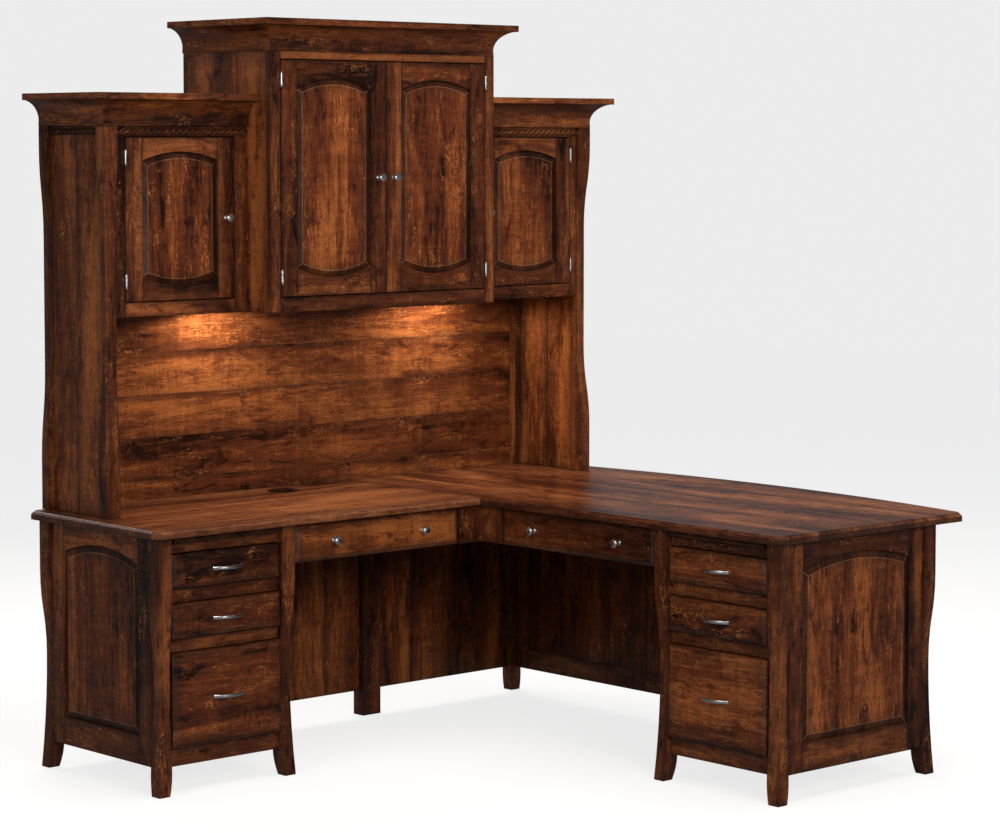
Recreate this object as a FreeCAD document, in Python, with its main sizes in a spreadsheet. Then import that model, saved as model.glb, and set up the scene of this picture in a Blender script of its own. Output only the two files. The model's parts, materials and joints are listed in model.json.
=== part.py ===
import FreeCAD, Part
import math
import os
import types

import Sketcher

# L-shaped corner desk with a stepped hutch, in millimetres, +Z up.
# The pieces are laid out from the inner corner of the L, on the floor: X runs along the return
# wing and the hutch, Y runs to the back, the return reaches to -X and the main wing to -Y.
# Each finished part is then moved so that the origin is the centre of the desk's footprint.

dimensions = {
    # desk tops
    "deskHeight": 775, "topThickness": 25, "edgeBevel": 9, "cornerClip": 25,
    "returnLength": 1237, "returnDepth": 672, "mainLength": 1262, "mainWidth": 830, "bowRise": 100,
    "frontOverhang": 19, "endOverhang": 17, "backOverhang": 44, "visitorOverhang": 125,
    # saber legs
    "legSize": 50, "footSize": 39, "footHeight": 82, "legWaist": 13, "waistHeight": 350,
    "legCurveTop": 600, "cornerPostWidth": 75,
    "cornerPostSet": 3, "cornerArm": 93,
    # pedestals
    "pedestalWidth": 498, "railBase": 82, "bottomRail": 50, "lowerRail": 38, "middleRail": 40,
    "upperRail": 31, "smallOpening": 105, "slideOpening": 17, "railSet": 19, "railThickness": 22,
    "panelRecess": 10, "panelThickness": 18, "floorBoard": 18,
    # drawers
    "frontSet": 1, "frontThickness": 22, "drawerGap": 2, "frontBevel": 15, "frontBevelDepth": 6,
    "boxBoard": 12, "boxBottom": 6, "boxBottomLift": 8, "boxLift": 12, "boxHeadroom": 14,
    "runnerWidth": 12.5, "runnerHeight": 45, "runnerClearance": 0.5, "drawerRoom": 58,
    "pencilOpening": 119, "trayInset": 30, "trayHeight": 60, "trayLift": 18, "cleatWidth": 16,
    "slideThickness": 13, "slideProud": 6, "slideSideGap": 8, "guideWidth": 20, "guideHeight": 15,
    # framed panels of the desk
    "stileWidth": 62, "endBottomRail": 84, "visitorBottomRail": 67, "endTopRail": 87,
    "endArch": 37, "fieldMargin": 22, "panelSet": 8, "panelBoard": 8, "fieldRise": 6,
    # hardware
    "pullLength": 112, "pullDepth": 25, "pullHeight": 11, "pullFoot": 10, "pullBar": 5,
    "knobRadius": 13.5, "knobLength": 27, "knobBase": 9, "knobPlate": 2.5, "knobNeck": 4.5,
    "knobSwell": 1, "knobLip": 3, "knobEdge": 29,
    "pencilKnobInset": 150, "hingeRadius": 4, "hingeHeight": 43, "hingeInset": 60,
    "hingeStand": 4.2, "leafWidth": 15, "leafThickness": 1,
    "grommetX": 352, "grommetY": 551, "grommetHole": 42, "grommetFlange": 51, "grommetBore": 38.5,
    "grommetClearance": 0.5, "grommetRim": 2.5, "grommetDepth": 30, "capSlot": 22,
    # hutch
    "hutchInsetLeft": 57, "hutchInsetRight": 40, "hutchDepth": 340, "postWidth": 52, "postDepth": 38,
    "postWaist": 14, "postCurveLow": 155, "postCurveHigh": 63, "postCurveRun": 265,
    "nookHeight": 591, "sideHeight": 1156, "centreHeight": 1383, "centreWidth": 905,
    "centreDepth": 447, "faceSet": 13, "faceThickness": 25, "centreFaceThickness": 20,
    "hutchPanelRecess": 20, "backSet": 22, "backBoard": 16, "backRail": 59, "backStile": 25,
    "cabinetBoard": 18, "centreSide": 19,
    "outerStile": 31, "innerStile": 46.5, "sideBottomRail": 43, "sideTopRail": 31,
    "centreStile": 38, "centreBottomRail": 46, "centreTopRail": 24,
    # hutch doors
    "doorThickness": 20, "doorGap": 2.4, "doorProud": 2, "doorStile": 61, "sideDoorRail": 70,
    "centreDoorRail": 86, "sideArch": 27, "centreArch": 32, "doorFieldMargin": 20,
    # mouldings and lights
    "crownHeight": 77, "crownOverhang": 57, "capThickness": 20, "capLip": 9, "coveRadius": 62,
    "coveStart": 6, "crownWall": 18, "ropeRadius": 10, "ropeDrop": 17,
    "lightRadius": 34, "lightHeight": 12, "lightBevel": 2, "lightDepth": 170, "leftLight": 392, "rightLight": 515,
    # hairline between boards that are glued side by side
    "jointGap": 0.2,
}

doc = FreeCAD.newDocument("CornerDesk")
sheet = doc.addObject("Spreadsheet::Sheet", "Sizes")
for row, (alias, number) in enumerate(dimensions.items(), start=1):
    sheet.set(f"A{row}", alias)
    sheet.set(f"B{row}", str(number))
    sheet.setAlias(f"B{row}", alias)
doc.recompute()


class Size:
    """A number that remembers the sheet expression it comes from."""

    def __init__(self, value, text):
        self.value = value
        self.text = text

    def __add__(self, other):
        other = as_size(other)
        return Size(self.value + other.value, f"({self.text} + {other.text})")

    def __sub__(self, other):
        other = as_size(other)
        return Size(self.value - other.value, f"({self.text} - {other.text})")

    def __mul__(self, other):
        other = as_size(other)
        return Size(self.value * other.value, f"({self.text} * {other.text})")

    def __truediv__(self, other):
        other = as_size(other)
        return Size(self.value / other.value, f"({self.text} / {other.text})")

    def __neg__(self):
        return Size(-self.value, f"(0 - {self.text})")

    def __radd__(self, other):
        return as_size(other) + self

    def __rsub__(self, other):
        return as_size(other) - self

    def __rmul__(self, other):
        return as_size(other) * self


def as_size(number):
    """A plain number as a Size; a Size stays as it is."""
    if isinstance(number, Size):
        return number
    return Size(float(number), f"({float(number)})")


def root(size):
    """The square root of a Size."""
    return Size(math.sqrt(size.value), f"sqrt({size.text})")


def bind(item, path, size):
    """Drives a property from the sheet."""
    item.setExpression(path, as_size(size).text)


def bind_base(item, base):
    """Drives the place of an object from the sheet."""
    for axis, distance in zip("xyz", base):
        bind(item, f"Placement.Base.{axis}", distance)


def turned(turn):
    """A placement turned about Z by this many degrees."""
    return FreeCAD.Placement(FreeCAD.Vector(), FreeCAD.Rotation(FreeCAD.Vector(0, 0, 1), turn))


dim = types.SimpleNamespace(
    **{alias: Size(float(number), f"Sizes.{alias}") for alias, number in dimensions.items()}
)

# Heights and lines that several parts share.
topUnderside = dim.deskHeight - dim.topThickness
backLine = dim.returnDepth - dim.backOverhang
visitorLine = dim.mainWidth - dim.visitorOverhang
returnPedestalX = dim.endOverhang - dim.returnLength
returnPedestalEnd = returnPedestalX + dim.pedestalWidth
mainPedestalEnd = dim.endOverhang - dim.mainLength
mainPedestalY = mainPedestalEnd + dim.pedestalWidth
returnPedestalDepth = backLine - dim.frontOverhang
mainPedestalDepth = visitorLine - dim.frontOverhang
armEnd = dim.frontOverhang - dim.cornerArm
frontBack = dim.frontSet + dim.frontThickness
hutchWidth = dim.returnLength + dim.mainWidth - dim.hutchInsetLeft - dim.hutchInsetRight
hutchHalf = hutchWidth / 2
hutchCentre = dim.hutchInsetLeft + hutchHalf - dim.returnLength
postInner = hutchHalf - dim.postWidth
centreHalf = dim.centreWidth / 2
faceFront = dim.hutchDepth - dim.faceSet

# The move from the inner corner of the L to the centre of the footprint.
shiftX = (dim.returnLength - dim.mainWidth - dim.bowRise) / 2
shiftY = (dim.mainLength - dim.returnDepth) / 2

# Where each group of pieces stands, as its base and its turn about Z.
returnPlace = ((returnPedestalX, dim.frontOverhang, 0), 0)
mainPlace = ((dim.frontOverhang, mainPedestalY, 0), -90)
returnPencilPlace = ((returnPedestalEnd, dim.frontOverhang, 0), 0)
mainPencilPlace = ((dim.frontOverhang, armEnd, 0), -90)
hutchPlace = ((hutchCentre, dim.returnDepth, dim.deskHeight), 0)

nodes = []


def board(name, low, high):
    """A square-edged board between two opposite corners."""
    box = doc.addObject("Part::Box", name)
    for side, start, stop in zip(("Length", "Width", "Height"), low, high):
        bind(box, side, stop - start)
    bind_base(box, low)
    return box


def group(name, pieces, place=((0, 0, 0), 0)):
    """Pieces that stand together at one place."""
    compound = doc.addObject("Part::Compound", name)
    compound.Links = pieces
    compound.Placement = turned(place[1])
    bind_base(compound, place[0])
    return compound


def mirrored(name, source, half=0):
    """The twin of a piece on the other side of the plane at this X."""
    twin = doc.addObject("Part::Mirroring", name)
    twin.Source = source
    twin.Normal = FreeCAD.Vector(1, 0, 0)
    bind(twin, "Base.x", half)
    return twin


def node(label, pieces):
    """A finished part of the desk, moved to the frame's origin."""
    part = group("Node", pieces, ((shiftX, shiftY, 0), 0))
    part.Label = label
    nodes.append(part)


def arc_radius(half, rise):
    """The radius of an arc with this half chord and rise."""
    return (half * half + rise * rise) / (rise * 2)


def arc_edge(start, stop, radius, side):
    """An arc between two points, with its centre on the left (1) or right (-1) of the way."""
    chord = stop - start
    reach = math.sqrt(max(radius**2 - (chord.Length / 2) ** 2, 0))
    left = FreeCAD.Vector(-chord.y, chord.x, 0).normalize()
    centre = (start + stop) * 0.5 + left * reach * side
    first, last = (start, stop) if side > 0 else (stop, start)
    begin = math.atan2(first.y - centre.y, first.x - centre.x)
    end = math.atan2(last.y - centre.y, last.x - centre.x)
    if end < begin:
        end += 2 * math.pi
    circle = Part.Circle(centre, FreeCAD.Vector(0, 0, 1), radius)
    return Part.ArcOfCircle(circle, begin, end), (1, 2) if side > 0 else (2, 1)


def outline(body, plane, corners, arcs, lift=0):
    """A closed sketch through the corners; arcs gives an edge its radius and centre side."""
    sketch = body.newObject("Sketcher::SketchObject", body.Name + "Sketch")
    origin = [part for part in body.Origin.OriginFeatures if part.Role == plane][0]
    sketch.AttachmentSupport = [(origin, "")]
    sketch.MapMode = "FlatFace"
    bind(sketch, "AttachmentOffset.Base.z", lift)
    corners = [(as_size(across), as_size(along)) for across, along in corners]
    points = [FreeCAD.Vector(across.value, along.value, 0) for across, along in corners]
    ends = []
    for index, start in enumerate(points):
        stop = points[(index + 1) % len(points)]
        if index in arcs:
            edge, order = arc_edge(start, stop, arcs[index][0].value, arcs[index][1])
        else:
            edge, order = Part.LineSegment(start, stop), (1, 2)
        sketch.addGeometry(edge, False)
        ends.append(order)
    for index, corner in enumerate(corners):
        before = index - 1 if index else len(corners) - 1
        here = (index, ends[index][0])
        sketch.addConstraint(Sketcher.Constraint("Coincident", before, ends[before][1], *here))
        for kind, axis, size in zip(("DistanceX", "DistanceY"), (-2, -1), corner):
            if size.value == 0:
                sketch.addConstraint(Sketcher.Constraint("PointOnObject", *here, axis))
            else:
                row = sketch.addConstraint(Sketcher.Constraint(kind, -1, 1, *here, size.value))
                sketch.renameConstraint(row, f"{kind}{index}")
                bind(sketch, f"Constraints.{kind}{index}", size)
    for index, (radius, _) in arcs.items():
        row = sketch.addConstraint(Sketcher.Constraint("Radius", index, radius.value))
        sketch.renameConstraint(row, f"Radius{index}")
        bind(sketch, f"Constraints.Radius{index}", radius)
    return sketch


def shaped_board(name, plane, shape, depth, base=(0, 0, 0)):
    """A board sawn to an outline, with its depth to +Y, +X or +Z of the outline's plane."""
    body = doc.addObject("PartDesign::Body", name)
    pad = body.newObject("PartDesign::Pad", name + "Pad")
    pad.Profile = outline(body, plane, *shape)
    pad.Reversed = plane == "XZ_Plane"
    bind(pad, "Length", depth)
    bind_base(body, base)
    return body


def raised_board(name, outer, field, thickness, rise, base):
    """A board whose face slopes up from its outline to a raised field, towards -Y."""
    body = doc.addObject("PartDesign::Body", name)
    foot = outline(body, "XZ_Plane", *outer)
    pad = body.newObject("PartDesign::Pad", name + "Pad")
    pad.Profile = foot
    pad.Reversed = True
    bind(pad, "Length", thickness)
    slope = body.newObject("PartDesign::AdditiveLoft", name + "Slope")
    slope.Profile = foot
    slope.Sections = [outline(body, "XZ_Plane", *field, lift=rise)]
    slope.Ruled = True
    bind_base(body, base)
    return body


def turned_piece(name, shape, placement, base):
    """A piece turned on a lathe: its outline gives radius and length, with its axis along Z."""
    body = doc.addObject("PartDesign::Body", name)
    profile = outline(body, "XZ_Plane", *shape)
    turning = body.newObject("PartDesign::Revolution", name + "Turning")
    turning.Profile = profile
    turning.ReferenceAxis = (profile, ["V_Axis"])
    turning.Angle = 360
    body.Placement = placement
    bind_base(body, base)
    return body


def rectangle(low, high, inset=0):
    """A rectangular outline."""
    left, bottom, right, top = low[0] + inset, low[1] + inset, high[0] - inset, high[1] - inset
    return [(left, bottom), (right, bottom), (right, top), (left, top)], {}


def arched(low, high, top_rise, bottom_rise, inset=0):
    """An outline whose top, and bottom if it has a rise, bow outwards past its corners."""
    half = (high[0] - low[0]) / 2
    arcs = {}
    levels = []
    for edge, level, way, rise in ((0, low[1], -1, bottom_rise), (2, high[1], 1, top_rise)):
        if rise is None:
            levels.append(level - inset * way)
            continue
        radius = arc_radius(half, rise) - inset
        own_rise = radius - root(radius * radius - (half - inset) * (half - inset))
        levels.append(level + (rise - inset - own_rise) * way)
        arcs[edge] = (radius, 1)
    bottom, top = levels
    left, right = low[0] + inset, high[0] - inset
    return [(left, bottom), (right, bottom), (right, top), (left, top)], arcs


def framed_panels(name, width, low, high, bays, sizes):
    """Stiles, rails and raised panels from X 0 to the width; the outer face is at Y 0."""
    stile, bottom_rail, top_rail, top_rise, bottom_rise, thickness, margin = sizes
    opening = (width - stile * (bays + 1)) / bays
    gap = dim.jointGap
    radius = arc_radius(opening / 2 - gap, top_rise)
    frame = []
    panels = []
    for bay in range(bays + 1):
        start = (opening + stile) * bay
        frame.append(board(name + "Stile", (start, 0, low), (start + stile, thickness, high)))
    for bay in range(bays):
        left = (opening + stile) * bay + stile
        right = left + opening
        sill = low + bottom_rail
        head = high - top_rail
        bottom_edge = {}
        if bottom_rise is not None:
            bottom_edge = {2: (arc_radius(opening / 2 - gap, bottom_rise), -1)}
        rail = [(left + gap, low), (right - gap, low), (right - gap, sill), (left + gap, sill)]
        frame.append(shaped_board(name + "Foot", "XZ_Plane", (rail, bottom_edge), thickness))
        rail = [(left + gap, head), (right - gap, head), (right - gap, high), (left + gap, high)]
        frame.append(shaped_board(name + "Head", "XZ_Plane", (rail, {0: (radius, -1)}), thickness))
        corners = ((left + gap, sill + gap), (right - gap, head - gap))
        outer = arched(*corners, top_rise, bottom_rise)
        field = arched(*corners, top_rise, bottom_rise, margin)
        base = (0, dim.panelSet, 0)
        panels.append(
            raised_board(name + "Panel", outer, field, dim.panelBoard, dim.fieldRise, base)
        )
    return frame, panels


def upright_boards(name, low, high, count, axis=0):
    """A panel of upright boards glued edge to edge along one axis."""
    width = (high[axis] - low[axis]) / count
    boards = []
    for number in range(count):
        start = list(low)
        stop = list(high)
        start[axis] = low[axis] + width * number
        stop[axis] = start[axis] + width - dim.jointGap
        boards.append(board(name, start, stop))
    return boards


# ---- desk tops ----

def desk_tops():
    """One bevelled L, parted along the seam at X 0, with a hole for the cable grommet."""
    clip = dim.cornerClip
    length = dim.returnLength
    depth = dim.mainLength
    wide = length + dim.mainWidth
    deep = depth + dim.returnDepth
    bow = arc_radius((deep - clip * 2) / 2, dim.bowRise)
    corners = [
        (length, clip), (length + clip, 0), (wide - clip, 0), (wide, clip),
        (wide, deep - clip), (wide - clip, deep), (clip, deep), (0, deep - clip),
        (0, depth + clip), (clip, depth), (length, depth),
    ]
    slab = shaped_board("Slab", "XY_Plane", (corners, {3: (bow, 1)}), dim.topThickness)
    bind_base(slab, (-length, -depth, topUnderside))
    doc.recompute()
    bevel = slab.newObject("PartDesign::Chamfer", "EdgeBevel")
    pad = next(item for item in slab.Group if item.TypeId == "PartDesign::Pad")
    upper = [
        f"Edge{number}"
        for number, edge in enumerate(pad.Shape.Edges, start=1)
        if abs(edge.BoundBox.ZMin - dim.topThickness.value) < 0.01
    ]
    bevel.Base = (pad, upper)
    bind(bevel, "Size", dim.edgeBevel)

    above = dim.deskHeight + 1
    below = topUnderside - 1
    spare = dim.bowRise + 1
    left_half = board("LeftHalf", (-length - 1, -depth - 1, below), (0, dim.returnDepth + 1, above))
    right_half = board(
        "RightHalf", (dim.jointGap, -depth - 1, below), (dim.mainWidth + spare, dim.returnDepth + 1, above)
    )
    tops = []
    for name, half in (("ReturnTop", left_half), ("MainTop", right_half)):
        top = doc.addObject("Part::Common", name)
        top.Base = slab
        top.Tool = half
        tops.append(top)
    hole = doc.addObject("Part::Cylinder", "GrommetHole")
    bind(hole, "Radius", dim.grommetHole)
    bind(hole, "Height", dim.topThickness + 2)
    bind_base(hole, (-dim.grommetX, dim.grommetY, below))
    drilled = doc.addObject("Part::Cut", "DrilledTop")
    drilled.Base = tops[0]
    drilled.Tool = hole
    node("return_desktop", [drilled])
    node("main_desktop", [tops[1]])


def grommet():
    """A flanged liner with a lift-out cap that has a slot for cables."""
    bore = dim.grommetBore
    rim = dim.grommetRim
    sleeve = dim.grommetHole - dim.grommetClearance
    place = (-dim.grommetX, dim.grommetY, dim.deskHeight)
    liner = [
        (bore, -dim.grommetDepth), (sleeve, -dim.grommetDepth), (sleeve, 0), (dim.grommetFlange, 0),
        (dim.grommetFlange - rim, rim), (bore, rim),
    ]
    node("grommet_liner", [turned_piece("Liner", (liner, {}), turned(0), place)])
    lid_radius = bore - dim.grommetClearance
    lid = [(0, -rim), (lid_radius, -rim), (lid_radius, rim), (lid_radius - rim * 2, rim * 2), (0, rim * 2)]
    blank = turned_piece("Lid", (lid, {}), turned(0), place)
    half_slot = dim.capSlot / 2
    slot = board(
        "CableSlot",
        (-dim.grommetX - half_slot, dim.grommetY - bore, dim.deskHeight - rim * 2),
        (half_slot - dim.grommetX, dim.grommetY - bore + dim.capSlot, dim.deskHeight + rim * 3),
    )
    cap = doc.addObject("Part::Cut", "SlottedLid")
    cap.Base = blank
    cap.Tool = slot
    node("grommet_cap", [cap])


# ---- legs and posts ----

def crossed(name, corners, arcs, width, depth, base, turn=0):
    """A square piece whose two outer faces both follow the same curve."""
    face = shaped_board(name + "Front", "XZ_Plane", (corners(width), arcs), depth)
    side = shaped_board(name + "Side", "YZ_Plane", (corners(depth), arcs), width)
    piece = doc.addObject("Part::Common", name)
    piece.Base = face
    piece.Tool = side
    piece.Placement = turned(turn)
    bind_base(piece, base)
    return piece


def saber_leg(name, base=(0, 0, 0), turn=0):
    """A leg whose outer faces sweep in to a waist and out again to the foot."""
    waist = dim.legWaist
    middle = (dim.waistHeight + dim.legCurveTop) / 2
    narrowing = dim.legSize - dim.footSize
    foot_curve = arc_radius(dim.waistHeight, waist)
    neck_curve = arc_radius(middle - dim.waistHeight, waist / 2)
    toe_curve = arc_radius(dim.footHeight, narrowing)

    def corners(size):
        return [
            (0, 0), (waist, dim.waistHeight), (waist / 2, middle), (0, dim.legCurveTop),
            (0, topUnderside), (size, topUnderside), (size, dim.footHeight), (size - narrowing, 0),
        ]

    arcs = {0: (foot_curve, 1), 1: (neck_curve, 1), 2: (neck_curve, -1), 6: (toe_curve, -1)}
    return crossed(name, corners, arcs, dim.legSize, dim.legSize, base, turn)


def desk_legs():
    """Four legs under the return; three and the far corner leg under the main wing."""
    width = dim.pedestalWidth
    front = saber_leg("ReturnLeg")
    back = saber_leg("ReturnBackLeg", (0, returnPedestalDepth, 0), -90)
    pairs = [front, back, mirrored("ReturnLegTwin", front, width / 2)]
    pairs.append(mirrored("ReturnBackLegTwin", back, width / 2))
    under_return = group("ReturnLegs", pairs, returnPlace)
    front = saber_leg("MainLeg")
    back = saber_leg("MainBackLeg", (width, mainPedestalDepth, 0), 180)
    legs = [front, mirrored("MainLegTwin", front, width / 2), back]
    corner = saber_leg("CornerLeg", (visitorLine, backLine, 0), 180)
    node("saber_legs", [under_return, group("MainLegs", legs, mainPlace), corner])


def corner_post():
    """The straight post where the return meets the main wing, and the short corner block."""
    left = -dim.cornerPostSet
    post = board(
        "CornerPost",
        (left, backLine - dim.legSize, 0),
        (left + dim.cornerPostWidth, backLine, topUnderside),
    )
    node("corner_post", [post])
    low = topUnderside - dim.pencilOpening + dim.drawerGap
    front = dim.frontOverhang
    inner = front + dim.railThickness
    arms = [
        board("ReturnArm", (armEnd, front, low), (inner, inner, topUnderside)),
        board("MainArm", (front, armEnd, low), (inner, front - dim.jointGap, topUnderside)),
    ]
    node("corner_block", arms)
    return left + dim.cornerPostWidth


# ---- desk panels ----

def desk_panels(post_right):
    """Framed end and visitor panels, and the plain board backs of the kneeholes."""
    low = dim.railBase
    recess = dim.panelRecess
    thick = dim.panelThickness
    leg = dim.legSize
    end = (dim.stileWidth, dim.endBottomRail, dim.endTopRail, dim.endArch, None, thick, dim.fieldMargin)
    visitor = (dim.stileWidth, dim.visitorBottomRail) + end[2:]
    sides = (
        ("ReturnEnd", returnPedestalDepth - leg * 2, 1, end,
         ((returnPedestalX + recess, backLine - leg, 0), -90)),
        ("MainEnd", mainPedestalDepth - leg * 2, 1, end,
         ((dim.frontOverhang + leg, mainPedestalEnd + recess, 0), 0)),
        ("Visitor", backLine - mainPedestalEnd - leg * 2, 3, visitor,
         ((visitorLine - recess, mainPedestalEnd + leg, 0), 90)),
    )
    frames = []
    panels = []
    for name, width, bays, sizes, place in sides:
        frame, field = framed_panels(name, width, low, topUnderside, bays, sizes)
        frames.append(group(name + "Frame", frame, place))
        panels.append(group(name + "Fields", field, place))
    node("panel_frames", frames)
    node("raised_panels", panels)

    outer = backLine - recess
    inner = outer - thick
    backs = upright_boards(
        "ReturnBack", (returnPedestalEnd, inner, low), (-dim.cornerPostSet, outer, topUnderside), 5
    )
    backs += upright_boards(
        "FarEnd", (post_right, inner, low), (visitorLine - leg, outer, topUnderside), 4
    )
    node("kneehole_panels", backs)


# ---- pedestals ----

def openings():
    """The drawer openings of a pedestal, top first, as name, lower and upper height."""
    top_high = topUnderside - dim.slideOpening - dim.upperRail
    top_low = top_high - dim.smallOpening
    middle_high = top_low - dim.middleRail
    middle_low = middle_high - dim.smallOpening
    file_high = middle_low - dim.lowerRail
    file_low = dim.railBase + dim.bottomRail
    return (
        ("top", top_low, top_high), ("middle", middle_low, middle_high), ("file", file_low, file_high)
    )


def front_rails():
    """The rails between the drawers, set back behind the legs."""
    high = openings()
    bars = (
        (dim.railBase, high[2][1]), (high[2][2], high[1][1]), (high[1][2], high[0][1]),
        (high[0][2], topUnderside - dim.slideOpening),
    )
    wings = []
    for name, place in (("ReturnRails", returnPlace), ("MainRails", mainPlace)):
        rails = [
            board(
                "Rail", (dim.legSize, dim.railSet, bottom),
                (dim.pedestalWidth - dim.legSize, dim.railSet + dim.railThickness, top),
            )
            for bottom, top in bars
        ]
        wings.append(group(name, rails, place))
    node("front_rails", wings)


def carcass(name, depth, back, kneehole_left, kneehole_right, place):
    """Inner walls, floor and kneehole side of one pedestal, from leg to leg."""
    low = dim.railBase
    leg = dim.legSize
    width = dim.pedestalWidth
    skin = dim.panelRecess + dim.panelThickness
    floor_top = dim.railBase + dim.bottomRail
    walls = [
        board(name + "Wall", (skin, leg, low), (leg, back, topUnderside)),
        board(name + "Wall", (width - leg, leg, low), (width - skin, depth - leg, topUnderside)),
        board(
            name + "Floor", (leg, dim.railSet + dim.railThickness, floor_top - dim.floorBoard),
            (width - leg, depth - skin, floor_top),
        ),
    ]
    side = ((kneehole_left, leg, low), (kneehole_right, back, topUnderside))
    walls += upright_boards(name + "Side", *side, 4, axis=1)
    return group(name, walls, place)


def pedestal_carcasses(guides):
    """The fixed boxes that the drawers run in, with the guides of the slides and trays."""
    width = dim.pedestalWidth
    skin = dim.panelRecess + dim.panelThickness
    recess = dim.panelRecess
    leg = dim.legSize
    depth = returnPedestalDepth
    boxes = carcass("ReturnCarcass", depth, depth - leg, width - skin, width - recess, returnPlace)
    back = upright_boards(
        "ReturnPedestalBack", (leg, depth - skin, dim.railBase), (width - leg, depth - recess, topUnderside), 3
    )
    fixed = [boxes, group("ReturnPedestalBack", back, returnPlace)]
    depth = mainPedestalDepth
    fixed.append(carcass("MainCarcass", depth, depth - skin, recess, skin, mainPlace))
    node("pedestal_carcasses", fixed + guides)


def knob(name, base):
    """A turned mushroom knob that stands out towards -Y."""
    radius = dim.knobRadius
    length = dim.knobLength
    crown = length - radius / 2
    plate = dim.knobPlate
    swell = dim.knobSwell
    shape = [
        (0, 0), (dim.knobBase, 0), (dim.knobBase, plate), (dim.knobNeck + swell, plate * 2),
        (dim.knobNeck, length / 2), (radius - swell, crown - dim.knobLip), (radius, crown),
        (0, length),
    ]
    dome = {6: (arc_radius(radius, length - crown), 1)}
    facing = FreeCAD.Placement(FreeCAD.Vector(), FreeCAD.Rotation(FreeCAD.Vector(1, 0, 0), 90))
    return turned_piece(name, (shape, dome), facing, base)


def pull(name, base):
    """A flat bar bent into a bow, with its two feet on the drawer front."""
    half = dim.pullLength / 2
    inner = half - dim.pullFoot
    shape = [(-half, 0), (-inner, 0), (inner, 0), (half, 0)]
    bows = {
        1: (arc_radius(inner, dim.pullDepth - dim.pullBar), 1),
        3: (arc_radius(half, dim.pullDepth), -1),
    }
    return shaped_board(name, "XY_Plane", (shape, bows), dim.pullHeight, base)


def open_box(name, low, high, wall):
    """A drawer box: two sides, an inner front, a back and a bottom, open on top."""
    gap = dim.jointGap
    inner_left = low[0] + wall + gap
    inner_right = high[0] - wall - gap
    floor = low[2] + dim.boxBottomLift
    return [
        board(name + "Side", low, (low[0] + wall, high[1], high[2])),
        board(name + "Side", (high[0] - wall, low[1], low[2]), high),
        board(name + "Front", (inner_left, low[1], low[2]), (inner_right, low[1] + wall, high[2])),
        board(name + "Back", (inner_left, high[1] - wall, low[2]), (inner_right, high[1], high[2])),
        board(
            name + "Bottom", (inner_left, low[1] + wall + gap, floor),
            (inner_right, high[1] - wall - gap, floor + dim.boxBottom),
        ),
    ]


def drawers(wing, depth, place):
    """Three drawers of one pedestal, each a front, a box and a pull; returns their runners."""
    width = dim.pedestalWidth
    gap = dim.drawerGap
    bevel = dim.frontBevelDepth
    length = depth - dim.panelRecess - dim.panelThickness - frontBack - dim.drawerRoom
    box_side = dim.legSize + dim.runnerWidth + dim.runnerClearance
    runner_start = frontBack + dim.runnerClearance
    runners = []
    for name, low, high in openings():
        part = f"{wing}_{name}_drawer"
        corners = ((dim.legSize + gap, low + gap), (width - dim.legSize - gap, high - gap))
        front = raised_board(
            "DrawerFront", rectangle(*corners), rectangle(*corners, dim.frontBevel),
            dim.frontThickness - bevel, bevel, (0, dim.frontSet + bevel, 0),
        )
        node(part + "_front", [group("Front", [front], place)])
        box_low = low + dim.boxLift
        box_high = high - dim.boxHeadroom
        box = open_box(
            "Box", (box_side, frontBack, box_low), (width - box_side, frontBack + length, box_high),
            dim.boxBoard,
        )
        node(part + "_box", [group("Box", box, place)])
        middle = (low + high) / 2
        bar = pull("Pull", (width / 2, dim.frontSet, middle - dim.pullHeight / 2))
        node(part + "_pull", [group("Pull", [bar], place)])
        for left in (dim.legSize, width - dim.legSize - dim.runnerWidth):
            runners.append(
                board(
                    "Runner", (left, runner_start, middle - dim.runnerHeight / 2),
                    (left + dim.runnerWidth, frontBack + length, middle + dim.runnerHeight / 2),
                )
            )
    return runners, length


def writing_slide(wing, length, place):
    """A pull-out board over the top drawer, with a rounded nose, and its two guides."""
    thick = dim.slideThickness
    low = topUnderside - dim.slideOpening + dim.drawerGap
    left = dim.legSize + dim.slideSideGap
    nose = thick * 0.3
    front = -dim.slideProud
    shape = [(front + nose, 0), (length, 0), (length, thick), (front + nose, thick)]
    bullnose = {3: (arc_radius(thick / 2, nose), 1)}
    width = dim.pedestalWidth - left * 2
    slide = shaped_board("Slide", "YZ_Plane", (shape, bullnose), width, (left, 0, low))
    node(f"{wing}_writing_slide", [group("Slide", [slide], place)])
    guides = []
    for side in (dim.legSize, dim.pedestalWidth - dim.legSize - dim.guideWidth):
        top = topUnderside - dim.slideOpening
        start = dim.railSet + dim.railThickness
        guides.append(
            board("Guide", (side, start, top - dim.guideHeight), (side + dim.guideWidth, length, top))
        )
    return guides


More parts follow.
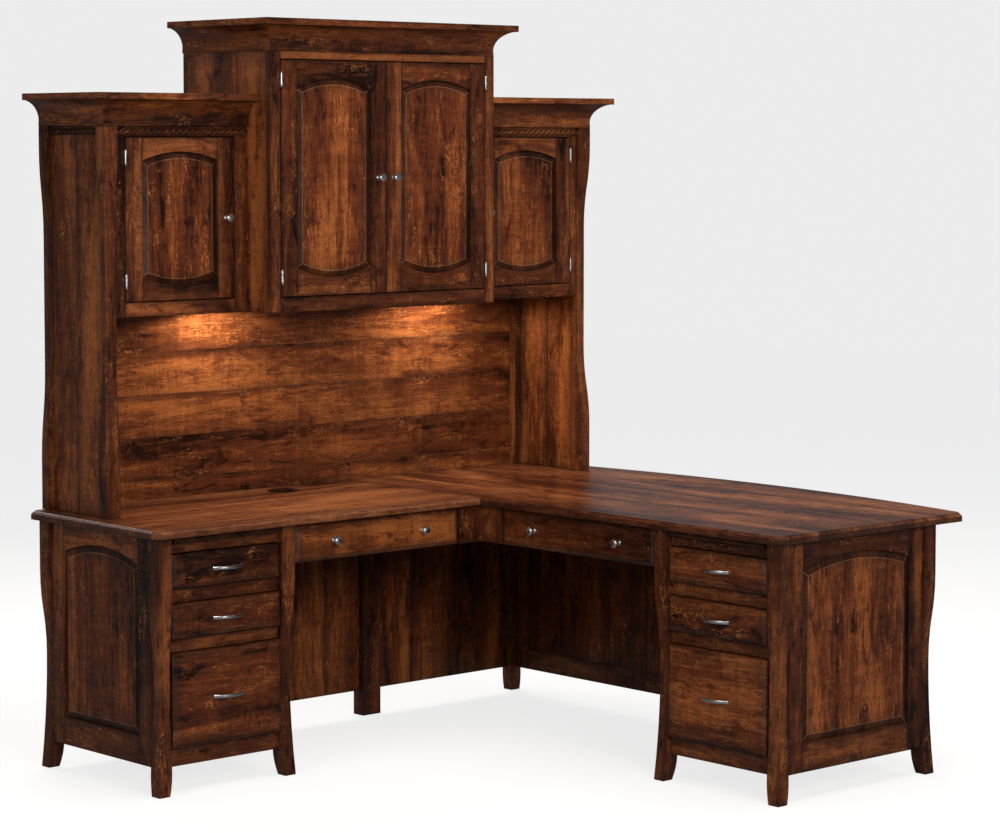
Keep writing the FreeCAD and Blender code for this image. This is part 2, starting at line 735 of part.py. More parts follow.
def pencil_drawer(wing, width, length, place):
    """The shallow drawer over a kneehole, on cleats that hang from the top."""
    gap = dim.drawerGap
    bevel = dim.frontBevelDepth
    low = topUnderside - dim.pencilOpening + gap
    corners = ((gap, low), (width - gap, topUnderside - gap))
    front = raised_board(
        "PencilFront", rectangle(*corners), rectangle(*corners, dim.frontBevel),
        dim.frontThickness - bevel, bevel, (0, dim.frontSet + bevel, 0),
    )
    node(f"{wing}_pencil_drawer_front", [group("Front", [front], place)])
    tray_low = low + dim.trayLift
    tray = open_box(
        "Tray", (dim.trayInset, frontBack, tray_low),
        (width - dim.trayInset, frontBack + length, tray_low + dim.trayHeight), dim.boxBoard,
    )
    node(f"{wing}_pencil_drawer_tray", [group("Tray", tray, place)])
    middle = topUnderside - dim.pencilOpening / 2
    knobs = [
        knob("Knob", (across, dim.frontSet, middle))
        for across in (dim.pencilKnobInset, width - dim.pencilKnobInset)
    ]
    node(f"{wing}_pencil_drawer_knobs", [group("Knobs", knobs, place)])
    outer = dim.trayInset - dim.runnerClearance - dim.cleatWidth
    start = frontBack + dim.runnerClearance
    return [
        board("Cleat", (left, start, tray_low), (left + dim.cleatWidth, start + length, topUnderside))
        for left in (outer, width - outer - dim.cleatWidth)
    ]


def wings():
    """The drawers and slides of both wings; returns the wooden guides that they run on."""
    return_runners, return_length = drawers("return", returnPedestalDepth, returnPlace)
    main_runners, main_length = drawers("main", mainPedestalDepth, mainPlace)
    node(
        "drawer_runners",
        [
            group("ReturnRunners", return_runners, returnPlace),
            group("MainRunners", main_runners, mainPlace),
        ],
    )
    short = dim.drawerRoom * 2
    return_guides = writing_slide("return", return_length - dim.drawerRoom, returnPlace)
    main_guides = writing_slide("main", main_length - dim.drawerRoom, mainPlace)
    return_cleats = pencil_drawer(
        "return", armEnd - returnPedestalEnd, return_length - short, returnPencilPlace
    )
    main_cleats = pencil_drawer("main", armEnd - mainPedestalY, main_length - short, mainPencilPlace)
    return [
        group("ReturnGuides", return_guides, returnPlace),
        group("MainGuides", main_guides, mainPlace),
        group("ReturnCleats", return_cleats, returnPencilPlace),
        group("MainCleats", main_cleats, mainPencilPlace),
    ]


# ---- hutch ----

def post_curve():
    """The outline of a hutch post, whose outer face draws in between two ogees."""
    waist = dim.postWaist
    low = dim.postCurveLow
    high = dim.sideHeight - dim.postCurveHigh
    run = dim.postCurveRun
    ogee = arc_radius(run / 2, waist / 2)

    def corners(size):
        return [
            (0, 0), (0, low), (waist / 2, low + run / 2), (waist, low + run),
            (waist, high - run), (waist / 2, high - run / 2), (0, high), (0, dim.sideHeight),
            (size, dim.sideHeight), (size, 0),
        ]

    return corners, {1: (ogee, -1), 2: (ogee, 1), 4: (ogee, 1), 5: (ogee, -1)}


def hutch_frame():
    """Posts, side panels and back of the hutch."""
    corners, arcs = post_curve()
    front = crossed(
        "FrontPost", corners, arcs, dim.postWidth, dim.postDepth, (-hutchHalf, -dim.hutchDepth, 0)
    )
    back = shaped_board(
        "BackPost", "XZ_Plane", (corners(dim.postWidth), arcs), dim.postDepth,
        (-hutchHalf, -dim.postDepth, 0),
    )
    posts = group("Posts", [front, back])
    node("hutch_posts", [group("HutchPosts", [posts, mirrored("PostTwins", posts)], hutchPlace)])

    outer = dim.hutchPanelRecess - hutchHalf
    boards = upright_boards(
        "HutchSide", (outer, dim.postDepth - dim.hutchDepth, 0),
        (outer + dim.panelThickness, -dim.postDepth, dim.sideHeight), 2, axis=1,
    )
    sides = group("Sides", boards)
    node("hutch_side_panels", [group("HutchSides", [sides, mirrored("SideTwins", sides)], hutchPlace)])

    gap = dim.jointGap
    inner = postInner - dim.backStile
    face = -dim.backSet
    rear = face + dim.backBoard
    rise = (dim.nookHeight - dim.backRail) / 4
    panel = [board("BackRail", (gap - inner, face - 2, 0), (inner - gap, rear, dim.backRail))]
    for row in range(4):
        low = dim.backRail + gap + rise * row
        panel.append(board("BackBoard", (gap - inner, face, low), (inner - gap, rear, low + rise - gap)))
    for left in (-postInner, inner):
        panel.append(board("BackStile", (left, face - 2, 0), (left + dim.backStile, rear, dim.nookHeight)))
    upper = dim.nookHeight + gap * 2
    panel.append(board("LeftBack", (-postInner, face, upper), (-centreHalf - gap, rear, dim.sideHeight)))
    panel.append(board("CentreBack", (-centreHalf, face, upper), (centreHalf, rear, dim.centreHeight)))
    panel.append(board("RightBack", (centreHalf + gap, face, upper), (postInner, rear, dim.sideHeight)))
    node("hutch_back", [group("HutchBack", panel, hutchPlace)])


def hutch_cabinets():
    """Walls, floors, tops and shelves of the centre and side cabinets."""
    thick = dim.cabinetBoard
    wall = dim.centreSide
    back = -dim.backSet
    front = dim.centreFaceThickness - dim.centreDepth
    inner = centreHalf - wall
    base = dim.nookHeight
    floor = base + dim.centreBottomRail
    middle = (floor + dim.centreHeight) / 2
    centre = [
        board("CentreWall", (left, front, base), (left + wall, back, dim.centreHeight))
        for left in (-centreHalf, inner)
    ]
    for top in (floor, middle, dim.centreHeight):
        centre.append(board("CentreShelf", (-inner, front, top - thick), (inner, back, top)))

    lining = hutchHalf - dim.hutchPanelRecess - dim.panelThickness
    side_front = dim.faceThickness - faceFront
    deep_front = dim.postDepth - dim.hutchDepth
    side_floor = base + dim.sideBottomRail
    side_middle = (side_floor + dim.sideHeight) / 2
    side = [board("Lining", (-lining, deep_front, base), (-postInner, -dim.postDepth, dim.sideHeight))]
    for top in (side_floor, side_middle, dim.sideHeight):
        side.append(board("SideShelf", (-postInner, side_front, top - thick), (-centreHalf, back, top)))
    sides = group("SideCabinet", side)
    cabinets = centre + [sides, mirrored("SideCabinetTwin", sides)]
    node("hutch_cabinets", [group("Cabinets", cabinets, hutchPlace)])


def face_frames():
    """Stiles and rails round the doors."""
    gap = dim.jointGap
    base = dim.nookHeight
    front = -faceFront
    rear = front + dim.faceThickness
    outer = -postInner + dim.outerStile
    inner = -centreHalf - dim.innerStile
    high = dim.sideHeight
    side = [
        board("OuterStile", (-postInner, front, base), (outer, rear, high)),
        board("InnerStile", (inner, front, base), (-centreHalf, rear, high)),
        board("SideSill", (outer + gap, front, base), (inner - gap, rear, base + dim.sideBottomRail)),
        board("SideHead", (outer + gap, front, high - dim.sideTopRail), (inner - gap, rear, high)),
    ]
    front = -dim.centreDepth
    rear = front + dim.centreFaceThickness
    stile = centreHalf - dim.centreStile
    high = dim.centreHeight
    centre = [
        board("CentreStile", (left, front, base), (left + dim.centreStile, rear, high))
        for left in (-centreHalf, stile)
    ]
    centre.append(
        board("CentreSill", (gap - stile, front, base), (stile - gap, rear, base + dim.centreBottomRail))
    )
    centre.append(
        board("CentreHead", (gap - stile, front, high - dim.centreTopRail), (stile - gap, rear, high))
    )
    sides = group("SideFace", side)
    pieces = centre + [sides, mirrored("SideFaceTwin", sides)]
    node("hutch_face_frames", [group("FaceFrames", pieces, hutchPlace)])


def hinge(name, height):
    """One exposed hinge: a barrel with the leaf that is screwed to the door's edge."""
    barrel = doc.addObject("Part::Cylinder", name + "Barrel")
    bind(barrel, "Radius", dim.hingeRadius)
    bind(barrel, "Height", dim.hingeHeight)
    start = height - dim.hingeHeight / 2
    bind_base(barrel, (-dim.doorGap / 2, -dim.hingeStand, start))
    leaf = board(
        name + "Leaf", (-dim.leafThickness, -dim.hingeStand, start),
        (0, dim.leafWidth, start + dim.hingeHeight),
    )
    joined = doc.addObject("Part::Fuse", name)
    joined.Base = barrel
    joined.Tool = leaf
    return joined


def door(label, width, height, rail, rise, corner):
    """A hinged door with its raised panel and hardware; returns its parts and fixed leaves."""
    sizes = (dim.doorStile, rail, rail, rise, rise, dim.doorThickness, dim.doorFieldMargin)
    frame, panel = framed_panels("Door", width, as_size(0), height, 1, sizes)
    hinges = (dim.hingeInset, height - dim.hingeInset)
    hardware = [hinge("Hinge", level) for level in hinges]
    hardware.append(knob("DoorKnob", (width - dim.knobEdge, 0, height / 2)))
    half = dim.hingeHeight / 2
    leaves = [
        board(
            "FixedLeaf", (-dim.doorGap, dim.doorProud, level - half),
            (dim.leafThickness - dim.doorGap, dim.leafWidth, level + half),
        )
        for level in hinges
    ]
    place = (corner, 0)
    parts = {"frame": frame, "panel": panel, "hardware": hardware}
    placed = {name: group(label + name, pieces, place) for name, pieces in parts.items()}
    return placed, group(label + "Leaves", leaves, place)


def hutch_doors():
    """A left door for the side and the centre cabinet, and their twins on the right."""
    gap = dim.doorGap
    side_left = -postInner + dim.outerStile + gap
    side_width = -centreHalf - dim.innerStile - gap - side_left
    side_low = dim.nookHeight + dim.sideBottomRail + gap
    side_height = dim.sideHeight - dim.sideTopRail - gap - side_low
    centre_left = dim.centreStile - centreHalf + gap
    centre_low = dim.nookHeight + dim.centreBottomRail + gap
    centre_height = dim.centreHeight - dim.centreTopRail - gap - centre_low
    doors = (
        ("side", side_width, side_height, dim.sideDoorRail, dim.sideArch,
         (side_left, -faceFront - dim.doorProud, side_low)),
        ("centre", -gap / 2 - centre_left, centre_height, dim.centreDoorRail, dim.centreArch,
         (centre_left, -dim.centreDepth - dim.doorProud, centre_low)),
    )
    fixed = []
    for name, width, height, rail, rise, corner in doors:
        parts, leaves = door(name, width, height, rail, rise, corner)
        for part, piece in parts.items():
            node(f"{name}_left_door_{part}", [group("Door", [piece], hutchPlace)])
            twin = mirrored("DoorTwin", piece)
            node(f"{name}_right_door_{part}", [group("Door", [twin], hutchPlace)])
        fixed += [leaves, mirrored("LeafTwins", leaves)]
    node("fixed_hinge_leaves", [group("HingeLeaves", fixed, hutchPlace)])


def crown(name, left, right, depth, base, both):
    """A coved crown, mitred round the front and the open ends, with a cap board over it."""
    flare = dim.crownOverhang - dim.capLip
    high = dim.crownHeight
    start = dim.coveStart
    cove = dim.coveRadius
    front_shape = [
        (left, 0), (right, 0), (right, start), (right + flare if both else right, high),
        (left - flare, high), (left, start),
    ]
    front_arcs = {4: (cove, -1), 2: (cove, -1)} if both else {4: (cove, -1)}
    reach = depth + dim.crownOverhang
    across = shaped_board(
        name + "Across", "XZ_Plane", (front_shape, front_arcs), reach, (0, -reach, base)
    )
    side_shape = [(-depth, 0), (0, 0), (0, high), (-depth - flare, high), (-depth, start)]
    ends = dim.crownOverhang
    along = shaped_board(
        name + "Along", "YZ_Plane", (side_shape, {3: (cove, -1)}), right - left + ends * 2,
        (left - ends, 0, base),
    )
    block = doc.addObject("Part::Common", name + "Block")
    block.Base = across
    block.Tool = along
    wall = dim.crownWall
    room = board(
        name + "Room", (left + wall, wall - depth, base - 1), (right - wall, 1, base + high + 1)
    )
    moulding = doc.addObject("Part::Cut", name + "Moulding")
    moulding.Base = block
    moulding.Tool = room
    cap_right = right + ends if both else right
    cap = board(
        name + "Cap", (left - ends, -reach, base + high), (cap_right, 0, base + high + dim.capThickness)
    )
    closing = board(
        name + "Closing", (left + wall + dim.jointGap, -dim.backSet, base),
        (right - wall - dim.jointGap, dim.backBoard - dim.backSet, base + high),
    )
    return [moulding, cap, closing]


def crowns():
    """Three crowns: one over the centre, and one over each side that dies into the centre."""
    centre = crown("CentreCrown", -centreHalf, centreHalf, dim.centreDepth, dim.centreHeight, True)
    side = group(
        "SideCrown",
        crown("LeftCrown", -hutchHalf, -centreHalf - dim.jointGap, dim.hutchDepth, dim.sideHeight, False),
    )
    pieces = centre + [side, mirrored("SideCrownTwin", side)]
    node("crown_mouldings", [group("Crowns", pieces, hutchPlace)])


def rope_mouldings():
    """Half-round rope moulding under the side crowns, along the front and the sides."""
    level = dim.sideHeight - dim.ropeDrop
    down = FreeCAD.Vector(0, 0, -1)
    rods = (
        ("FrontRope", (-postInner, -faceFront, level), postInner - centreHalf,
         (FreeCAD.Vector(0, 0, 1), FreeCAD.Vector(0, -1, 0), FreeCAD.Vector(1, 0, 0))),
        ("SideRope", (dim.hutchPanelRecess - hutchHalf, dim.postDepth - dim.hutchDepth, level),
         dim.hutchDepth - dim.postDepth * 2,
         (down, FreeCAD.Vector(-1, 0, 0), FreeCAD.Vector(0, 1, 0))),
    )
    ropes = []
    for name, base, length, axes in rods:
        rod = doc.addObject("Part::Cylinder", name)
        rod.Angle = 180
        bind(rod, "Radius", dim.ropeRadius)
        bind(rod, "Height", length)
        rod.Placement = FreeCAD.Placement(FreeCAD.Vector(), FreeCAD.Rotation(*axes))
        bind_base(rod, base)
        ropes.append(rod)
    left = group("Ropes", ropes)
    node("rope_mouldings", [group("RopeMouldings", [left, mirrored("RopeTwins", left)], hutchPlace)])


def puck_lights():
    """Two round lights under the cabinets."""
    floors = (
        (-dim.leftLight, dim.nookHeight + dim.centreBottomRail - dim.cabinetBoard),
        (dim.rightLight, dim.nookHeight + dim.sideBottomRail - dim.cabinetBoard),
    )
    radius = dim.lightRadius
    height = dim.lightHeight
    bevel = dim.lightBevel
    shape = [(0, 0), (radius - bevel, 0), (radius, bevel), (radius, height), (0, height)]
    lights = [
        turned_piece("Light", (shape, {}), turned(0), (across, -dim.lightDepth, ceiling - height))
        for across, ceiling in floors
    ]
    node("puck_lights", [group("Lights", lights, hutchPlace)])


desk_tops()
grommet()
desk_legs()
desk_panels(corner_post())
front_rails()
pedestal_carcasses(wings())
hutch_frame()
hutch_cabinets()
face_frames()
hutch_doors()
crowns()
rope_mouldings()
puck_lights()
doc.recompute()

for item in doc.Objects:
    if "Invalid" in item.State or "Error" in item.State:
        raise RuntimeError(f"{item.Name} did not build: {item.State}")
os.makedirs("parts", exist_ok=True)
for part in nodes:
    if part.Shape.isNull() or not part.Shape.isValid():
        raise RuntimeError(f"{part.Label} has no valid shape")
for part in nodes:
    part.Shape.exportStep(f"parts/{part.Label}.step")
print(len(nodes), "parts written")
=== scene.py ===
import bmesh
import bpy
import json
import math
import random
from mathutils import Matrix, Vector

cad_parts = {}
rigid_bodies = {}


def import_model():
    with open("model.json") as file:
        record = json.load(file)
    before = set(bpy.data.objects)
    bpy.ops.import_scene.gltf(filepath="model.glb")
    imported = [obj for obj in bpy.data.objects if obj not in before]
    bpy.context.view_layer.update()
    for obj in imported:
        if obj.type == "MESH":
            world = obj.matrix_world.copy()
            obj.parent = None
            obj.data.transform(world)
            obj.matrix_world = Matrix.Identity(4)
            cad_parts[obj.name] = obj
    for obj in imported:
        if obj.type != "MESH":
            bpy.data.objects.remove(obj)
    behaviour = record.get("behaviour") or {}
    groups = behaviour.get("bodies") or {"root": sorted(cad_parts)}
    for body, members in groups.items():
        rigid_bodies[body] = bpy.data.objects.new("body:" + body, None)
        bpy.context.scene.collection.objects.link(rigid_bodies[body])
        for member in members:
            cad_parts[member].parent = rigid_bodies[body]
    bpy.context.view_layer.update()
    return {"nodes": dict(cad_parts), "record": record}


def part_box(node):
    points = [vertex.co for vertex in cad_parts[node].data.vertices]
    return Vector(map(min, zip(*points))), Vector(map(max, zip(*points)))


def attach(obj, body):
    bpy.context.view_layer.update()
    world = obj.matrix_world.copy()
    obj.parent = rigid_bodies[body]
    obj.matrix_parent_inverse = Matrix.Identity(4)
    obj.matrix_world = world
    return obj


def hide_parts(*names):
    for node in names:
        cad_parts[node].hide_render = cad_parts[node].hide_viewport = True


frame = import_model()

nodes = frame["nodes"]
random.seed(11)
scene = bpy.context.scene

# the camera, the floor and the lights
cameraSet = {
    "place": (-5.957, -6.556, 1.888),  # standing height, off the near left corner
    "turn": 42.105,  # degrees from +Y towards +X
    "pitch": 3.798,
    "lens": 106.32,
    "shift": -0.08,
    "sensor": 36,
    "sees": 60,  # metres
}
stageSet = {
    "floorHalf": 14.0,
    "floorColour": (0.27, 0.268, 0.265),
    "floorLift": 0.78,  # how far the floor is lightened towards paper white
    "floorInGloss": 0.12,
    "floorRough": 0.7,
    "floorSpecular": 0.2,
    "skyForCamera": (0.84, 0.84, 0.84),
    "skyForLight": (0.95, 0.97, 1.0),
    "skyStrength": 0.2,
    "skyInGloss": 0.1,
}
lightSets = {  # mirrored: whether the lacquer mirrors it; onWood: whether it lights matt wood
    "leftSoftbox": {
        "place": (-4.8, -0.9, 2.3), "aim": (0, 0, 0.9), "size": (1.6, 3.0), "power": 46,
        "colour": (1.0, 0.97, 0.95), "mirrored": True, "onWood": True,
    },
    "frontSoftbox": {
        "place": (-2.2, -5.4, 2.9), "aim": (-0.2, 0.2, 0.6), "size": (2.6, 1.8), "power": 160,
        "colour": (1.0, 0.94, 0.88), "mirrored": False, "onWood": True,
    },
    "topSoftbox": {
        "place": (0.9, 3.4, 3.3), "aim": (0.2, -0.2, 0.7), "size": (4.6, 1.6), "power": 105,
        "colour": (1.0, 0.96, 0.93), "mirrored": True, "onWood": True,
    },
    "overheadSoftbox": {
        "place": (0.3, -0.9, 4.4), "aim": (0.1, -0.1, 0.7), "size": (3.0, 3.0), "power": 120,
        "colour": (1.0, 0.92, 0.84), "mirrored": False, "onWood": True,
    },
    "sheenSoftbox": {
        "place": (-0.9, -5.6, 0.8), "aim": (-0.5, 0, 0.6), "size": (1.5, 1.0), "power": 20,
        "colour": (1.0, 0.98, 0.96), "mirrored": True, "onWood": False,
    },
    "rightSoftbox": {
        "place": (4.2, -1.8, 3.0), "aim": (0.2, 0, 0.7), "size": (2.2, 2.2), "power": 30,
        "colour": (1.0, 0.95, 0.9), "mirrored": False, "onWood": True,
    },
}


def makeCamera():
    data = bpy.data.cameras.new("deskCamera")
    data.lens = cameraSet["lens"]
    data.sensor_width = cameraSet["sensor"]
    data.shift_y = cameraSet["shift"]
    data.clip_end = cameraSet["sees"]
    camera = bpy.data.objects.new("deskCamera", data)
    camera.location = cameraSet["place"]
    tilt, turn = math.radians(90 - cameraSet["pitch"]), math.radians(cameraSet["turn"])
    camera.rotation_euler = (tilt, 0, -turn)
    scene.collection.objects.link(camera)
    scene.camera = camera


def makeFloor():
    half = stageSet["floorHalf"]
    corners = [(-half, -half, 0), (half, -half, 0), (half, half, 0), (-half, half, 0)]
    mesh = bpy.data.meshes.new("studioFloor")
    mesh.from_pydata(corners, [], [(0, 1, 2, 3)])
    floor = bpy.data.objects.new("studioFloor", mesh)
    scene.collection.objects.link(floor)
    material = bpy.data.materials.new("studioFloor")
    material.use_nodes = True
    tree = material.node_tree
    shader = tree.nodes["Principled BSDF"]
    shader.inputs["Base Color"].default_value = (*stageSet["floorColour"], 1)
    shader.inputs["Roughness"].default_value = stageSet["floorRough"]
    shader.inputs["Specular IOR Level"].default_value = stageSet["floorSpecular"]
    path = addNode(tree, "ShaderNodeLightPath")
    lift = addNode(tree, "ShaderNodeEmission")
    mirrored = addNode(tree, "ShaderNodeEmission")
    mirrored.inputs["Strength"].default_value = stageSet["floorInGloss"]
    both = addNode(tree, "ShaderNodeAddShader")
    pick = addNode(tree, "ShaderNodeMixShader")
    lifted = calc(tree, "MULTIPLY", path.outputs["Is Camera Ray"], stageSet["floorLift"])
    joinNodes(
        tree, (lifted, lift.inputs["Strength"]), (lift.outputs[0], both.inputs[0]),
        (shader.outputs[0], both.inputs[1]), (path.outputs["Is Glossy Ray"], pick.inputs[0]),
        (both.outputs[0], pick.inputs[1]), (mirrored.outputs[0], pick.inputs[2]),
        (pick.outputs[0], tree.nodes["Material Output"].inputs["Surface"]),
    )
    mesh.materials.append(material)


def addSky(tree, colour, strength):
    sky = addNode(tree, "ShaderNodeBackground")
    sky.inputs["Color"].default_value = (*colour, 1)
    sky.inputs["Strength"].default_value = strength
    return sky


def makeSky():
    world = bpy.data.worlds.new("studio")
    scene.world = world
    world.use_nodes = True
    tree = world.node_tree
    tree.nodes.clear()
    path = addNode(tree, "ShaderNodeLightPath")
    seen = addSky(tree, stageSet["skyForCamera"], 1)
    soft = addSky(tree, stageSet["skyForLight"], stageSet["skyStrength"])
    gloss = addSky(tree, stageSet["skyForLight"], stageSet["skyInGloss"])
    unseen = addNode(tree, "ShaderNodeMixShader")
    mix = addNode(tree, "ShaderNodeMixShader")
    out = addNode(tree, "ShaderNodeOutputWorld")
    joinNodes(
        tree, (path.outputs["Is Glossy Ray"], unseen.inputs[0]), (soft.outputs[0], unseen.inputs[1]),
        (gloss.outputs[0], unseen.inputs[2]), (path.outputs["Is Camera Ray"], mix.inputs[0]),
        (unseen.outputs[0], mix.inputs[1]), (seen.outputs[0], mix.inputs[2]),
        (mix.outputs[0], out.inputs["Surface"]),
    )


def makeSoftbox(name, kit):
    data = bpy.data.lights.new(name, "AREA")
    data.shape = "RECTANGLE"
    data.size, data.size_y = kit["size"]
    data.energy = kit["power"]
    data.color = kit["colour"]
    lamp = bpy.data.objects.new(name, data)
    lamp.location = kit["place"]
    lamp.rotation_euler = (Vector(kit["aim"]) - Vector(kit["place"])).to_track_quat("-Z", "Y").to_euler()
    lamp.visible_glossy = kit["mirrored"]
    lamp.visible_diffuse = kit["onWood"]
    scene.collection.objects.link(lamp)
    return lamp


# ---- helpers for node trees# helpers for node trees


def addNode(tree, kind, **settings):
    item = tree.nodes.new(kind)
    for key, value in settings.items():
        setattr(item, key, value)
    return item


def joinNodes(tree, *pairs):
    for start, end in pairs:
        tree.links.new(start, end)


def calc(tree, operation, first, second=None, third=None, clamp=False):
    item = addNode(tree, "ShaderNodeMath", operation=operation, use_clamp=clamp)
    for socket, value in zip(item.inputs, (first, second, third)):
        if value is None:
            continue
        if isinstance(value, (int, float)):
            socket.default_value = value
        else:
            tree.links.new(value, socket)
    return item.outputs[0]


def fade(tree, value, low, high, outLow=0.0, outHigh=1.0):
    item = addNode(tree, "ShaderNodeMapRange", interpolation_type="SMOOTHSTEP")
    for socket, entry in zip(item.inputs, (value, low, high, outLow, outHigh)):
        if isinstance(entry, (int, float)):
            socket.default_value = entry
        else:
            tree.links.new(entry, socket)
    return item.outputs[0]


def tint(tree, factor, first, second, blend="MIX"):
    item = addNode(tree, "ShaderNodeMix", data_type="RGBA", blend_type=blend)
    sockets = [s for s in item.inputs if s.type == "RGBA"]
    factorSocket = item.inputs[0]
    for socket, entry in zip((factorSocket, *sockets), (factor, first, second)):
        if isinstance(entry, (int, float)):
            socket.default_value = entry
        elif isinstance(entry, tuple):
            socket.default_value = (*entry, 1)
        else:
            tree.links.new(entry, socket)
    return [s for s in item.outputs if s.type == "RGBA"][0]


def noise(tree, vector, scale, detail=3.0, rough=0.55, warp=0.0):
    stretch = addNode(tree, "ShaderNodeVectorMath", operation="MULTIPLY")
    tree.links.new(vector, stretch.inputs[0])
    stretch.inputs[1].default_value = scale
    item = addNode(tree, "ShaderNodeTexNoise")
    item.inputs["Scale"].default_value = 1.0
    item.inputs["Detail"].default_value = detail
    item.inputs["Roughness"].default_value = rough
    item.inputs["Distortion"].default_value = warp
    tree.links.new(stretch.outputs[0], item.inputs["Vector"])
    return item.outputs["Fac"]


def newGroup(name, inputs, outputs):
    tree = bpy.data.node_groups.new(name, "ShaderNodeTree")
    for label, kind, value in inputs:
        socket = tree.interface.new_socket(name=label, in_out="INPUT", socket_type=kind)
        if value is not None:
            socket.default_value = value
    for label, kind in outputs:
        tree.interface.new_socket(name=label, in_out="OUTPUT", socket_type=kind)
    return tree, tree.nodes.new("NodeGroupInput"), tree.nodes.new("NodeGroupOutput")


def placeGroup(tree, group, **values):
    item = addNode(tree, "ShaderNodeGroup", node_tree=group)
    for label, value in values.items():
        socket = item.inputs[label]
        if isinstance(value, bpy.types.NodeSocket):
            tree.links.new(value, socket)
        else:
            socket.default_value = value
    return item


makeCamera()
makeFloor()
makeSky()
for name, kit in lightSets.items():
    makeSoftbox(name, kit)
scene.view_settings.view_transform = "Standard"
print("camera, floor and lights are in")

# maple: what every board shares
figureSet = {
    "base": 0.45,  # the tone about which the figure swings
    "layers": {  # scale runs along the board, across it and through it
        "broad": {"scale": (1.1, 8, 8), "detail": 3, "rough": 0.55, "warp": 0.6, "weight": 1.5},
        "streaks": {"scale": (4, 55, 55), "detail": 5, "rough": 0.65, "warp": 0.4, "weight": 0.5},
        "fibres": {"scale": (20, 300, 300), "detail": 4, "rough": 0.7, "warp": 0, "weight": 0.75},
        "hairs": {"scale": (60, 1200, 1200), "detail": 2, "rough": 0.6, "warp": 0, "weight": 0.3},
        "curl": {"scale": (42, 9, 9), "detail": 2, "rough": 0.5, "warp": 0.8, "weight": 0.28},
    },
    "rings": 0.09,
    "boardTone": (0.2, -0.08),  # how much and from where one board's tone differs from the next
    "spots": -0.26,
    "ticks": -0.16,
    "pits": 0.5,
}
ringSet = {
    "wander": 0.12,  # metres by which the heart line strays
    "length": 0.9,  # one cathedral's length
    "width": 0.11,  # the distance between two heart lines
    "taper": 0.085,
    "least": 0.004,
    "shake": 0.012,
    "gap": 0.0062,  # the distance from one ring to the next
}


